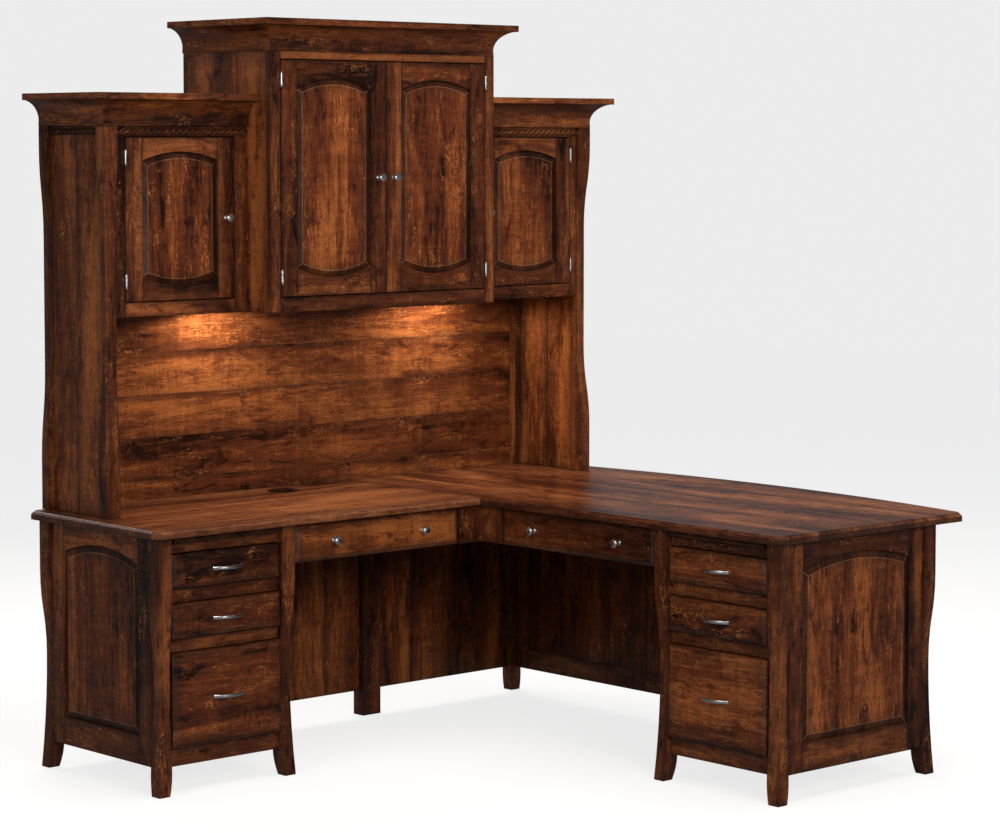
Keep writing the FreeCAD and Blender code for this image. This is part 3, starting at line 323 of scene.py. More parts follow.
def makeMapleGrain():
    tree, given, out = newGroup(
        "mapleGrain",
        [
            ("Dark", "NodeSocketColor", (0.02, 0.006, 0.003, 1)),
            ("Middle", "NodeSocketColor", (0.1, 0.03, 0.012, 1)),
            ("Light", "NodeSocketColor", (0.3, 0.11, 0.035, 1)),
            ("Fleck", "NodeSocketColor", (0.5, 0.2, 0.06, 1)),
            ("Flecks", "NodeSocketFloat", 1.0),
            ("Blotches", "NodeSocketFloat", 1.0),
            ("Contrast", "NodeSocketFloat", 1.0),
        ],
        [("Colour", "NodeSocketColor"), ("Height", "NodeSocketFloat"), ("Gloss Loss", "NodeSocketFloat")],
    )
    grain = addNode(tree, "ShaderNodeAttribute", attribute_name="boardGrain").outputs["Vector"]
    tone = addNode(tree, "ShaderNodeAttribute", attribute_name="boardTone").outputs["Fac"]

    layers = {}
    for name, kit in figureSet["layers"].items():
        layers[name] = noise(tree, grain, kit["scale"], kit["detail"], kit["rough"], kit["warp"])
    pores = noise(tree, grain, (120, 560, 560), 2, 0.5)
    blotch = noise(tree, grain, (7, 20, 20), 5, 0.6, 1.2)

    # cathedral rings: the distance from a heart line that slowly leaves the board
    split = addNode(tree, "ShaderNodeSeparateXYZ")
    tree.links.new(grain, split.inputs[0])
    wander = noise(tree, grain, (2.4, 9, 9), 3, 0.5, 0.5)
    stray = calc(tree, "MULTIPLY_ADD", wander, ringSet["wander"], -ringSet["wander"] / 2)
    side = calc(tree, "ADD", split.outputs[1], stray)
    along = calc(tree, "PINGPONG", split.outputs[0], ringSet["length"])
    across = calc(tree, "PINGPONG", side, ringSet["width"])
    rise = calc(tree, "MULTIPLY_ADD", along, ringSet["taper"], ringSet["least"])
    ring = calc(tree, "SQRT", calc(tree, "ADD", calc(tree, "POWER", across, 2), calc(tree, "POWER", rise, 2)))
    shake = noise(tree, grain, (16, 60, 60), 4, 0.65)
    ring = calc(tree, "MULTIPLY_ADD", shake, ringSet["shake"], ring)
    rings = fade(tree, calc(tree, "PINGPONG", ring, ringSet["gap"]), 0.0, ringSet["gap"])

    # curly light flecks, in patches
    squiggle = noise(tree, grain, (30, 75, 75), 2, 0.5, 0.9)
    squiggle = calc(tree, "ABSOLUTE", calc(tree, "SUBTRACT", squiggle, 0.5))
    squiggle = fade(tree, squiggle, 0.004, 0.03, 1.0, 0.0)
    patch = fade(tree, noise(tree, grain, (5, 19, 19), 3, 0.5, 1.0), 0.53, 0.66)
    flecks = calc(tree, "MULTIPLY", calc(tree, "MULTIPLY", squiggle, patch), given.outputs["Flecks"])
    flecks = calc(tree, "MULTIPLY", flecks, fade(tree, layers["fibres"], 0.32, 0.56), clamp=True)

    # short dark ticks across the grain where the figure ripples
    ticks = fade(tree, noise(tree, grain, (170, 34, 34), 2, 0.55), 0.36, 0.46, 1.0, 0.0)
    rippled = fade(tree, noise(tree, grain, (4, 26, 26), 2, 0.5, 0.6), 0.52, 0.64)
    ticks = calc(tree, "MULTIPLY", ticks, rippled)

    value = figureSet["base"]
    for name, kit in figureSet["layers"].items():
        swing = calc(tree, "SUBTRACT", layers[name], 0.5)
        value = calc(tree, "MULTIPLY_ADD", swing, kit["weight"], value)
    value = calc(tree, "MULTIPLY_ADD", calc(tree, "SUBTRACT", rings, 0.5), figureSet["rings"], value)
    value = calc(tree, "ADD", value, calc(tree, "MULTIPLY_ADD", tone, *figureSet["boardTone"]))
    spots = fade(tree, blotch, 0.30, 0.46, 1.0, 0.0)
    spots = calc(tree, "MULTIPLY", spots, given.outputs["Blotches"])
    value = calc(tree, "MULTIPLY_ADD", spots, figureSet["spots"], value)
    value = calc(tree, "MULTIPLY_ADD", ticks, figureSet["ticks"], value)
    swing = calc(tree, "SUBTRACT", value, figureSet["base"])
    value = calc(tree, "MULTIPLY_ADD", swing, given.outputs["Contrast"], figureSet["base"])

    low = tint(tree, fade(tree, value, 0.0, 0.42), given.outputs["Dark"], given.outputs["Middle"])
    colour = tint(tree, fade(tree, value, 0.36, 0.92), low, given.outputs["Light"])
    colour = tint(tree, flecks, colour, given.outputs["Fleck"])
    pits = fade(tree, pores, 0.37, 0.49, 1.0, 0.0)
    colour = tint(tree, calc(tree, "MULTIPLY", pits, figureSet["pits"]), colour, given.outputs["Dark"])
    joinNodes(tree, (colour, out.inputs["Colour"]))

    height = calc(tree, "MULTIPLY_ADD", layers["fibres"], 0.4, calc(tree, "MULTIPLY", layers["hairs"], 0.3))
    height = calc(tree, "MULTIPLY_ADD", pits, -0.5, height)
    joinNodes(tree, (height, out.inputs["Height"]))
    loss = calc(tree, "MULTIPLY_ADD", layers["streaks"], 0.5, calc(tree, "MULTIPLY", pits, 0.5))
    joinNodes(tree, (loss, out.inputs["Gloss Loss"]))
    return tree


burnishSet = {
    "ragged": 0.006,  # how far the worn line strays, in metres
    "drift": 0.05,
    "heart": 3,  # the paler heart begins this many reaches in
}


def makeBurnish():
    tree, given, out = newGroup(
        "burnishedEdges",
        [
            ("Line", "NodeSocketFloat", 0.003),
            ("Reach", "NodeSocketFloat", 0.025),
        ],
        [("Edge", "NodeSocketFloat"), ("Shade", "NodeSocketFloat"), ("Heart", "NodeSocketFloat")],
    )
    place = addNode(tree, "ShaderNodeAttribute", attribute_name="boardFrom").outputs["Vector"]
    half = addNode(tree, "ShaderNodeAttribute", attribute_name="boardHalf").outputs["Vector"]
    grain = addNode(tree, "ShaderNodeAttribute", attribute_name="boardGrain").outputs["Vector"]
    size = addNode(tree, "ShaderNodeVectorMath", operation="ABSOLUTE")
    left = addNode(tree, "ShaderNodeVectorMath", operation="SUBTRACT")
    split = addNode(tree, "ShaderNodeSeparateXYZ")
    joinNodes(
        tree, (place, size.inputs[0]), (half, left.inputs[0]), (size.outputs[0], left.inputs[1]),
        (left.outputs[0], split.inputs[0]),
    )
    nearest = calc(tree, "MINIMUM", split.outputs[0], split.outputs[1])
    nearest = calc(tree, "MINIMUM", nearest, split.outputs[2])
    rough = noise(tree, grain, (30, 110, 110), 4, 0.6)
    broad = noise(tree, grain, (4, 22, 22), 3, 0.5)
    uneven = calc(tree, "MULTIPLY_ADD", calc(tree, "SUBTRACT", rough, 0.5), burnishSet["ragged"], nearest)
    joinNodes(tree, (fade(tree, uneven, 0.0, given.outputs["Line"], 1.0, 0.0), out.inputs["Edge"]))
    wide = calc(tree, "MULTIPLY_ADD", calc(tree, "SUBTRACT", broad, 0.5), burnishSet["drift"], nearest)
    joinNodes(tree, (fade(tree, wide, 0.0, given.outputs["Reach"], 1.0, 0.0), out.inputs["Shade"]))
    reach = calc(tree, "MULTIPLY", given.outputs["Reach"], burnishSet["heart"])
    joinNodes(tree, (fade(tree, wide, given.outputs["Reach"], reach), out.inputs["Heart"]))
    return tree


mapleGrain = makeMapleGrain()
burnishedEdges = makeBurnish()

mapleSets = {
    "stainedMaple": {
        "dark": (0.009, 0.0024, 0.0012), "middle": (0.085, 0.0215, 0.0075), "light": (0.32, 0.1, 0.029),
        "fleck": (0.5, 0.175, 0.05), "glow": (0.95, 0.8, 0.6),
        "flecks": 0.85, "blotches": 1.0, "contrast": 1.1, "line": 0.0035, "reach": 0.02,
        "end": 0.75, "edge": 0.62, "slopeShade": 0.62, "shade": 0.3, "heart": 0.45,
        "coat": 0.12, "rough": 0.36, "bump": 0.1,
    },
    "mapleTop": {
        "dark": (0.035, 0.0105, 0.006), "middle": (0.15, 0.046, 0.02), "light": (0.36, 0.13, 0.05),
        "fleck": (0.5, 0.2, 0.07), "glow": (0.95, 0.8, 0.6),
        "flecks": 0.5, "blotches": 0.8, "contrast": 1.55, "line": 0.006, "reach": 0.05,
        "end": 0.5, "edge": 0.4, "slopeShade": 0.0, "shade": 0.3, "heart": 0.3,
        "coat": 0.3, "rough": 0.29, "bump": 0.03,
    },
    "mapleBack": {
        "dark": (0.014, 0.0036, 0.0017), "middle": (0.105, 0.028, 0.0095), "light": (0.36, 0.115, 0.032),
        "fleck": (0.5, 0.18, 0.05), "glow": (0.95, 0.8, 0.6),
        "flecks": 0.85, "blotches": 0.9, "contrast": 1.15, "line": 0.0012, "reach": 0.008,
        "end": 0.5, "edge": 0.35, "slopeShade": 0.4, "shade": 0.12, "heart": 0.3,
        "coat": 0.1, "rough": 0.38, "bump": 0.08,
    },
    # a paler copy of the maple for the softened edges of raised panels: a painted highlight line
    "ridgeHighlightMaple": {
        "dark": (0.03, 0.011, 0.006), "middle": (0.19, 0.08, 0.042), "light": (0.4, 0.2, 0.1),
        "fleck": (0.5, 0.24, 0.12), "glow": (0.7, 0.6, 0.5),
        "flecks": 0.3, "blotches": 0.5, "contrast": 0.8, "line": 0.0002, "reach": 0.001,
        "end": 0.2, "edge": 0.1, "slopeShade": 0.0, "shade": 0.1, "heart": 0.0,
        "coat": 0.3, "rough": 0.3, "bump": 0.05,
    },
    "clearMaple": {
        "dark": (0.3, 0.13, 0.05), "middle": (0.52, 0.29, 0.13), "light": (0.68, 0.45, 0.24),
        "fleck": (0.36, 0.18, 0.07), "glow": (0.7, 0.6, 0.5),
        "flecks": 0.7, "blotches": 0.3, "contrast": 1.6, "line": 0.002, "reach": 0.008,
        "end": 0.3, "edge": 0.2, "slopeShade": 0.1, "shade": 0.12, "heart": 0.1,
        "coat": 0.1, "rough": 0.42, "bump": 0.07,
    },
}
lacquerSet = {"coatRough": 0.18, "specular": 0.3, "bumpDepth": 0.001, "grainGloss": 0.16, "polish": 0.05}


def makeMaple(name, kit):
    material = bpy.data.materials.new(name)
    material.use_nodes = True
    tree = material.node_tree
    shader = tree.nodes["Principled BSDF"]
    colours = {label.capitalize(): (*kit[label], 1) for label in ("dark", "middle", "light", "fleck")}
    grain = placeGroup(tree, mapleGrain, **colours, Flecks=kit["flecks"], Blotches=kit["blotches"],
                       Contrast=kit["contrast"])
    edges = placeGroup(tree, burnishedEdges, Line=kit["line"], Reach=kit["reach"])
    glow = calc(tree, "MULTIPLY", edges.outputs["Heart"], kit["heart"])
    colour = tint(tree, glow, grain.outputs["Colour"], kit["glow"], "SOFT_LIGHT")
    # the bevel-slope attribute holds painted recess shade for the bevelled faces of raised fields and drawer
    # fronts
    slopeShade = addNode(tree, "ShaderNodeAttribute", attribute_name="boardSlopeShade").outputs["Fac"]
    end = addNode(tree, "ShaderNodeAttribute", attribute_name="boardEndGrainAndGrooveShade").outputs["Fac"]
    # the bevel-slope darkening is painted recess shade; on the ropes the end-grain mask also carries painted
    # groove shade
    darkened = {"shade": edges.outputs["Shade"], "edge": edges.outputs["Edge"], "slopeShade": slopeShade, "end": end}
    for label, mask in darkened.items():
        colour = tint(tree, calc(tree, "MULTIPLY", mask, kit[label]), colour, kit["dark"])
    gloss = calc(tree, "MULTIPLY_ADD", grain.outputs["Gloss Loss"], lacquerSet["grainGloss"],
                 kit["rough"] - lacquerSet["polish"])
    bump = addNode(tree, "ShaderNodeBump")
    bump.inputs["Strength"].default_value = kit["bump"]
    bump.inputs["Distance"].default_value = lacquerSet["bumpDepth"]
    joinNodes(
        tree, (colour, shader.inputs["Base Color"]), (gloss, shader.inputs["Roughness"]),
        (grain.outputs["Height"], bump.inputs["Height"]), (bump.outputs[0], shader.inputs["Normal"]),
    )
    shader.inputs["Coat Weight"].default_value = kit["coat"]
    shader.inputs["Coat Roughness"].default_value = lacquerSet["coatRough"]
    shader.inputs["Specular IOR Level"].default_value = lacquerSet["specular"]
    return material


maples = {name: makeMaple(name, kit) for name, kit in mapleSets.items()}
print("maple finishes are mixed")

# boards: one seed, one tone and one grain direction each
boardSet = {
    "grid": 50000,  # positions are matched to a fiftieth of a millimetre
    "shift": 9,  # metres by which one board's figure is moved from another's
    "never": 9,  # a half size so large that no edge is near
    "endFrom": 0.75,
    "endSpan": 0.2,
    "slopeLean": (0.76, 0.993),  # how a bevelled face of a raised field leans; faces that lean so get painted recess shade
}


def sortFaces(mesh, touching=False):
    # gives every face the number of its board; boards that only touch stay apart, unless touching is set
    spot = [tuple(round(c * boardSet["grid"]) for c in vertex.co) for vertex in mesh.vertices]
    parent = list(range(len(mesh.polygons)))

    def head(index):
        while parent[index] != index:
            parent[index] = parent[parent[index]]
            index = parent[index]
        return index

    sharing = {}
    for face in mesh.polygons:
        for first, second in face.edge_keys:
            sharing.setdefault(frozenset((spot[first], spot[second])), []).append(face.index)
    for faces in sharing.values():
        if len(faces) == 2 or touching:
            for other in faces[1:]:
                parent[head(other)] = head(faces[0])
    heads = [head(face.index) for face in mesh.polygons]
    order = {first: number for number, first in enumerate(sorted(set(heads)))}
    return [order[first] for first in heads]


def findBoards(mesh, touching=False):
    owner = sortFaces(mesh, touching)
    boards = [set() for _ in range(max(owner) + 1)]
    for face in mesh.polygons:
        boards[owner[face.index]].update(face.vertices)
    return [sorted(board) for board in boards]


def boxOf(mesh, indices):
    points = [mesh.vertices[i].co for i in indices]
    low = Vector([min(p[a] for p in points) for a in range(3)])
    high = Vector([max(p[a] for p in points) for a in range(3)])
    return low, high


def grainBoards(mesh, mitred=False, raised=0.0):
    owner = sortFaces(mesh)
    facts = []
    for indices in findBoards(mesh):
        low, high = boxOf(mesh, indices)
        size = high - low
        axis = max(range(3), key=lambda a: size[a])
        shift = Vector([random.uniform(-boardSet["shift"], boardSet["shift"]) for _ in range(3)])
        facts.append((low, high, axis, shift, random.random()))
    vectors = ("boardGrain", "boardFrom", "boardHalf")
    values = {name: [] for name in (*vectors, "boardTone", "boardEndGrainAndGrooveShade", "boardSlopeShade")}
    for face in mesh.polygons:
        low, high, axis, shift, tone = facts[owner[face.index]]
        normal = face.normal
        flat = max(range(3), key=lambda a: abs(normal[a]))
        run = axis
        if mitred and flat == 0:
            run = 1
        order = (run, (run + 1) % 3, (run + 2) % 3)
        middle = (low + high) / 2
        half = (high - low) / 2
        half[flat] = boardSet["never"]
        end = max(0.0, min(1.0, (abs(normal[run]) - boardSet["endFrom"]) / boardSet["endSpan"]))
        # faces that lean like a raised field's bevel get painted recess shade, as strong as raised
        least, most = boardSet["slopeLean"]
        slopeShade = raised if least < abs(normal[flat]) < most else 0.0
        for corner in face.loop_indices:
            co = mesh.vertices[mesh.loops[corner].vertex_index].co
            local = co - low
            values["boardGrain"].extend([local[a] + shift[a] for a in order])
            values["boardFrom"].extend(co - middle)
            values["boardHalf"].extend(half)
            values["boardTone"].append(tone)
            values["boardEndGrainAndGrooveShade"].append(end)
            values["boardSlopeShade"].append(slopeShade)
    mesh.attributes.new("boardNumber", "FLOAT", "FACE")
    mesh.attributes["boardNumber"].data.foreach_set("value", owner)
    for name, row in values.items():
        kind, field = ("FLOAT_VECTOR", "vector") if name in vectors else ("FLOAT", "value")
        mesh.attributes.new(name, kind, "CORNER")
        mesh.attributes[name].data.foreach_set(field, row)


edgeSet = {
    "glueReach": 0.00002, "spread": (0.0131, 0.0177, 0.0213), "flat": 0.3, "crease": 8.5, "sharp": 11,
    "segments": 2,
}


def newShapeGroup(name):
    tree = bpy.data.node_groups.new(name, "GeometryNodeTree")
    for way in ("INPUT", "OUTPUT"):
        tree.interface.new_socket(name="Geometry", in_out=way, socket_type="NodeSocketGeometry")
    return tree, tree.nodes.new("NodeGroupInput"), tree.nodes.new("NodeGroupOutput")


def makeGlue():
    # closes each board's own faces; boards that only touch are held apart while it works
    tree, start, end = newShapeGroup("glueBoardFaces")
    number = addNode(tree, "GeometryNodeInputNamedAttribute", data_type="FLOAT")
    number.inputs["Name"].default_value = "boardNumber"
    moves = []
    for way in (1, -1):
        step = addNode(tree, "ShaderNodeVectorMath", operation="SCALE")
        step.inputs[0].default_value = [way * part for part in edgeSet["spread"]]
        move = addNode(tree, "GeometryNodeSetPosition")
        joinNodes(
            tree, (number.outputs["Attribute"], step.inputs["Scale"]),
            (step.outputs[0], move.inputs["Offset"]),
        )
        moves.append(move)
    apart = addNode(tree, "GeometryNodeSplitEdges")
    merge = addNode(tree, "GeometryNodeMergeByDistance")
    merge.inputs["Distance"].default_value = edgeSet["glueReach"]
    joinNodes(
        tree, (start.outputs[0], apart.inputs[0]), (apart.outputs[0], moves[0].inputs["Geometry"]),
        (moves[0].outputs[0], merge.inputs["Geometry"]), (merge.outputs[0], moves[1].inputs["Geometry"]),
        (moves[1].outputs[0], end.inputs[0]),
    )
    return tree


def makeCreases():
    tree, start, end = newShapeGroup("creaseSharpEdges")
    angle = addNode(tree, "GeometryNodeInputMeshEdgeAngle")
    steep = addNode(tree, "FunctionNodeCompare", operation="GREATER_THAN")
    steep.inputs["B"].default_value = math.radians(edgeSet["crease"])
    smoothFaces = addNode(tree, "GeometryNodeSetShadeSmooth")
    sharpEdges = addNode(tree, "GeometryNodeSetShadeSmooth", domain="EDGE")
    sharpEdges.inputs["Shade Smooth"].default_value = False
    joinNodes(
        tree, (start.outputs[0], smoothFaces.inputs["Geometry"]),
        (smoothFaces.outputs[0], sharpEdges.inputs["Geometry"]),
        (angle.outputs["Unsigned Angle"], steep.inputs["A"]),
        (steep.outputs[0], sharpEdges.inputs["Selection"]), (sharpEdges.outputs[0], end.inputs[0]),
    )
    return tree


glueBoardFaces = makeGlue()
creaseSharpEdges = makeCreases()


def softenEdges(piece, width, clamp=True):
    glue = piece.modifiers.new("glueFaces", "NODES")
    glue.node_group = glueBoardFaces
    flat = piece.modifiers.new("flatFaces", "DECIMATE")
    flat.decimate_type = "DISSOLVE"
    flat.angle_limit = math.radians(edgeSet["flat"])
    flat.delimit = {"MATERIAL"}
    creases = piece.modifiers.new("creases", "NODES")
    creases.node_group = creaseSharpEdges
    bevel = piece.modifiers.new("softEdges", "BEVEL")
    bevel.width = width
    bevel.segments = edgeSet["segments"]
    bevel.limit_method = "ANGLE"
    bevel.angle_limit = math.radians(edgeSet["sharp"])
    bevel.harden_normals = True
    bevel.use_clamp_overlap = clamp


def dropNormals(mesh):
    if "custom_normal" in mesh.attributes:
        mesh.attributes.remove(mesh.attributes["custom_normal"])


woodSet = {
    "softEdge": 0.0011,
    "topEdge": 0.0022,
    "legEdge": 0.0018,
    "glued": ("hutch_back", "kneehole_panels"),  # boards glued edge to edge, with no burnished joints
    "gluedEdge": 0.0003,
    "ringEdge": 0.0004,  # the grommet's two metal rings
    "frontSlopeShade": 0.12,  # how much painted recess shade a drawer front's bevel gets, against 1 for a raised panel
}
fittings = [name for name in nodes if name.endswith(("_pull", "_knobs", "_hardware"))]
grommetNodes = ["grommet_liner", "grommet_cap"]
otherFittings = ["fixed_hinge_leaves", "drawer_runners", "puck_lights", "rope_mouldings"]


def finishBoards():
    for name in sorted(nodes):
        if name in fittings + grommetNodes + otherFittings:
            continue
        piece = nodes[name]
        mesh = piece.data
        dropNormals(mesh)
        finish, width = "stainedMaple", woodSet["softEdge"]
        if name.endswith(("_box", "_tray")):
            finish = "clearMaple"
        elif name in woodSet["glued"]:
            finish, width = "mapleBack", woodSet["gluedEdge"]
        elif name == "crown_mouldings":
            finish = "mapleBack"
        elif name.endswith("_writing_slide"):
            width = woodSet["gluedEdge"]
        elif "desktop" in name:
            finish, width = "mapleTop", woodSet["topEdge"]
        elif name in ("saber_legs", "hutch_posts", "corner_post"):
            width = woodSet["legEdge"]
        # raised sets the painted recess shade on bevel slopes: full on raised panels, a little on drawer
        # fronts
        raised = 1.0 if name.endswith(("_panel", "raised_panels")) else 0.0
        if name.endswith("_front"):
            raised = woodSet["frontSlopeShade"]
        grainBoards(mesh, mitred=name == "crown_mouldings", raised=raised)
        mesh.materials.clear()
        mesh.materials.append(maples[finish])
        softenEdges(piece, width, name != "crown_mouldings")
        # the softened edges of raised panels take the paler maple, a painted highlight line
        if raised == 1.0:
            mesh.materials.append(maples["ridgeHighlightMaple"])
            piece.modifiers["softEdges"].material = 1


finishBoards()
print("boards have their grain and soft edges")

# metal and lamp finishes
brushSet = {
    "brush": (220, 220, 2600), "cloud": (55, 55, 55), "swing": 0.22, "dulled": 0.2, "bump": 0.06,
    "depth": 0.0004,
}


def makeBrushed():
    tree, given, out = newGroup(
        "brushedMetal",
        [
            ("Colour", "NodeSocketColor", (0.6, 0.6, 0.6, 1)),
            ("Tarnish", "NodeSocketColor", (0.2, 0.19, 0.18, 1)),
            ("Wear", "NodeSocketFloat", 0.4),
            ("Roughness", "NodeSocketFloat", 0.25),
        ],
        [("Colour", "NodeSocketColor"), ("Roughness", "NodeSocketFloat"), ("Height", "NodeSocketFloat")],
    )
    place = addNode(tree, "ShaderNodeTexCoord").outputs["Object"]
    brush = noise(tree, place, brushSet["brush"], 3, 0.6)
    cloud = noise(tree, place, brushSet["cloud"], 4, 0.6)
    dull = calc(tree, "MULTIPLY", fade(tree, cloud, 0.42, 0.66), given.outputs["Wear"])
    colour = tint(tree, dull, given.outputs["Colour"], given.outputs["Tarnish"])
    rough = calc(tree, "SUBTRACT", brush, 0.5)
    rough = calc(tree, "MULTIPLY_ADD", rough, brushSet["swing"], given.outputs["Roughness"])
    rough = calc(tree, "MULTIPLY_ADD", dull, brushSet["dulled"], rough)
    joinNodes(
        tree, (colour, out.inputs["Colour"]), (rough, out.inputs["Roughness"]), (brush, out.inputs["Height"])
    )
    return tree


brushedMetal = makeBrushed()
metalSets = {
    "satinNickel": {
        "colour": (0.8, 0.785, 0.765), "tarnish": (0.45, 0.43, 0.41), "wear": 0.3, "rough": 0.27,
    },
    "pewter": {
        "colour": (0.2, 0.195, 0.19), "tarnish": (0.06, 0.055, 0.05), "wear": 0.6, "rough": 0.32,
    },
    "runnerZinc": {
        "colour": (0.55, 0.56, 0.58), "tarnish": (0.32, 0.33, 0.36), "wear": 0.5, "rough": 0.34,
    },
}


def makeMetal(name, kit):
    material = bpy.data.materials.new(name)
    material.use_nodes = True
    tree = material.node_tree
    shader = tree.nodes["Principled BSDF"]
    shader.inputs["Metallic"].default_value = 1
    brushed = placeGroup(
        tree, brushedMetal, Colour=(*kit["colour"], 1), Tarnish=(*kit["tarnish"], 1), Wear=kit["wear"],
        Roughness=kit["rough"],
    )
    bump = addNode(tree, "ShaderNodeBump")
    bump.inputs["Strength"].default_value = brushSet["bump"]
    bump.inputs["Distance"].default_value = brushSet["depth"]
    joinNodes(
        tree, (brushed.outputs["Colour"], shader.inputs["Base Color"]),
        (brushed.outputs["Roughness"], shader.inputs["Roughness"]),
        (brushed.outputs["Height"], bump.inputs["Height"]), (bump.outputs[0], shader.inputs["Normal"]),
    )
    return material


metals = {name: makeMetal(name, kit) for name, kit in metalSets.items()}


def makeLamp(name, colour, glow):
    material = bpy.data.materials.new(name)
    material.use_nodes = True
    tree = material.node_tree
    shader = tree.nodes["Principled BSDF"]
    place = addNode(tree, "ShaderNodeTexCoord").outputs["Object"]
    frost = noise(tree, place, (900, 900, 900), 3, 0.6)
    shade = tuple(part * 0.8 for part in colour)
    mixed = tint(tree, fade(tree, frost, 0.3, 0.7), colour, shade)
    tree.links.new(mixed, shader.inputs["Base Color"])
    tree.links.new(fade(tree, frost, 0.3, 0.7, 0.32, 0.5), shader.inputs["Roughness"])
    if glow:
        tree.links.new(mixed, shader.inputs["Emission Color"])
        shader.inputs["Emission Strength"].default_value = glow
    return material


lampWhite = makeLamp("lampHousing", (0.8, 0.79, 0.76), 0)
lampGlow = makeLamp("frostedLens", (1.0, 0.9, 0.76), 3.0)

# fittings: knobs, pulls, hinges, ropes, lights and runners


def newPiece(name, points, faces, material, body, stoodFor=(), slot=None, smooth=30):
    mesh = bpy.data.meshes.new(name)
    mesh.from_pydata(points, [], faces)
    build = bmesh.new()
    build.from_mesh(mesh)
    bmesh.ops.remove_doubles(build, verts=build.verts, dist=1e-7)
    bmesh.ops.recalc_face_normals(build, faces=build.faces)
    build.to_mesh(mesh)
    build.free()
    mesh.shade_smooth()
    mesh.set_sharp_from_angle(angle=math.radians(smooth))
    mesh.materials.append(material)
    piece = bpy.data.objects.new(name, mesh)
    scene.collection.objects.link(piece)
    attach(piece, body)
    if stoodFor:
        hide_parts(*stoodFor)
    return piece


def facing(axis):
    # local X along the drawer, Y up, Z out of the wood
    out = Vector((0, 0, 0))
    out["XYZ".index(axis[1])] = -1 if axis[0] == "-" else 1
    up = Vector((0, 1, 0)) if axis[1] == "Z" else Vector((0, 0, 1))
    side = up.cross(out)
    return Matrix((side, up, out)).transposed()


def ringFaces(rows, count):
    # the faces between rings of points, and the two flat ends
    faces = []
    for row in range(rows - 1):
        for step in range(count):
            a, b = row * count + step, row * count + (step + 1) % count
            faces.append((a, b, b + count, a + count))
    faces.append(tuple(range(count)))
    faces.append(tuple(range((rows - 1) * count, rows * count)))
    return faces


def turned(profile, segments, place, axis):
    spin = facing(axis)
    points = []
    for radius, height in profile:
        for step in range(segments):
            angle = math.tau * step / segments
            local = Vector((radius * math.cos(angle), radius * math.sin(angle), height))
            points.append(place + spin @ local)
    return points, ringFaces(len(profile), segments)


def addPart(whole, part):
    start = len(whole[0])
    whole[0].extend(part[0])
    whole[1].extend(tuple(index + start for index in face) for face in part[1])


knobSet = {
    "segments": 40,
    "profile": [  # radius and height, in mm, from the wood to the crown
        (8.4, 0), (9.0, 0.5), (9.0, 1.4), (8.5, 2.1), (7.3, 2.5), (6.3, 3.3), (5.3, 5.2),
        (4.7, 8.0), (4.6, 10.5), (5.0, 13.0), (6.2, 15.4), (8.4, 17.3), (11.4, 18.5), (12.9, 19.5),
        (13.5, 20.9), (13.4, 22.2), (12.6, 23.8), (11.0, 25.0), (8.4, 26.1), (5.0, 26.8), (1.8, 27.0),
    ],
}


def makeKnobs(whole, low, high, axis):
    place = (low + high) / 2
    flat = 0 if axis == "-X" else 1
    place[flat] = high[flat]
    profile = [(r / 1000, h / 1000) for r, h in knobSet["profile"]]
    addPart(whole, turned(profile, knobSet["segments"], place, axis))


pullSet = {
    "steps": 40, "section": 16, "bar": 0.0052, "foot": 0.0075, "waist": 0.0098, "footRise": 0.0035,
    "square": 0.45,  # under 1 squares the section's corners
}


def makePull(whole, low, high, axis):
    spin = facing(axis)
    size = high - low
    flat = 0 if axis == "-X" else 1
    length, tall, depth = size[1 - flat], size[2], size[flat]
    place = (low + high) / 2
    place[flat] = high[flat]
    half = length / 2 - pullSet["foot"] / 2
    steps, ring = pullSet["steps"], pullSet["section"]
    rise = depth - pullSet["bar"] / 2 - pullSet["footRise"]
    radius = (half * half + rise * rise) / (2 * rise)
    sweep = math.asin(half / radius)
    path = [(-half, 0.0, Vector((0, 1)))]
    for step in range(steps + 1):
        angle = sweep * (2 * step / steps - 1)
        out = radius * math.cos(angle) - radius + rise + pullSet["footRise"]
        path.append((radius * math.sin(angle), out, Vector((math.cos(angle), -math.sin(angle)))))
    path.append((half, 0.0, Vector((0, -1))))
    path[1] = (path[1][0], path[1][1], Vector((0.5, 0.87)))
    path[-2] = (path[-2][0], path[-2][1], Vector((0.5, -0.87)))
    points = []
    for along, out, ahead in path:
        near = abs(along) / half
        wide = pullSet["waist"] + (tall - pullSet["waist"]) * near ** 5
        thick = pullSet["bar"] + (pullSet["foot"] - pullSet["bar"]) * near ** 8
        for step in range(ring):
            angle = math.tau * (step + 0.5) / ring
            c, d = math.cos(angle), math.sin(angle)
            u = math.copysign(abs(c) ** pullSet["square"], c) * thick / 2
            v = math.copysign(abs(d) ** pullSet["square"], d) * wide / 2
            local = Vector((along + u * ahead.y, v, max(0.0, out - u * ahead.x)))
            points.append(place + spin @ local)
    addPart(whole, (points, ringFaces(len(path), ring)))


hingeSet = {
    "radius": 0.004, "knuckles": 5, "groove": 0.0005, "tip": 0.0035, "segments": 24, 
    "leafWidth": 0.0145, "leafThick": 0.001, "leafGap": 0.0002, "leafBack": 0.002, "corner": 0.0028,
    "screw": 0.0026, "screwAt": 0.3, "tallerThan": 0.035,  # a solid taller than this is a barrel
}


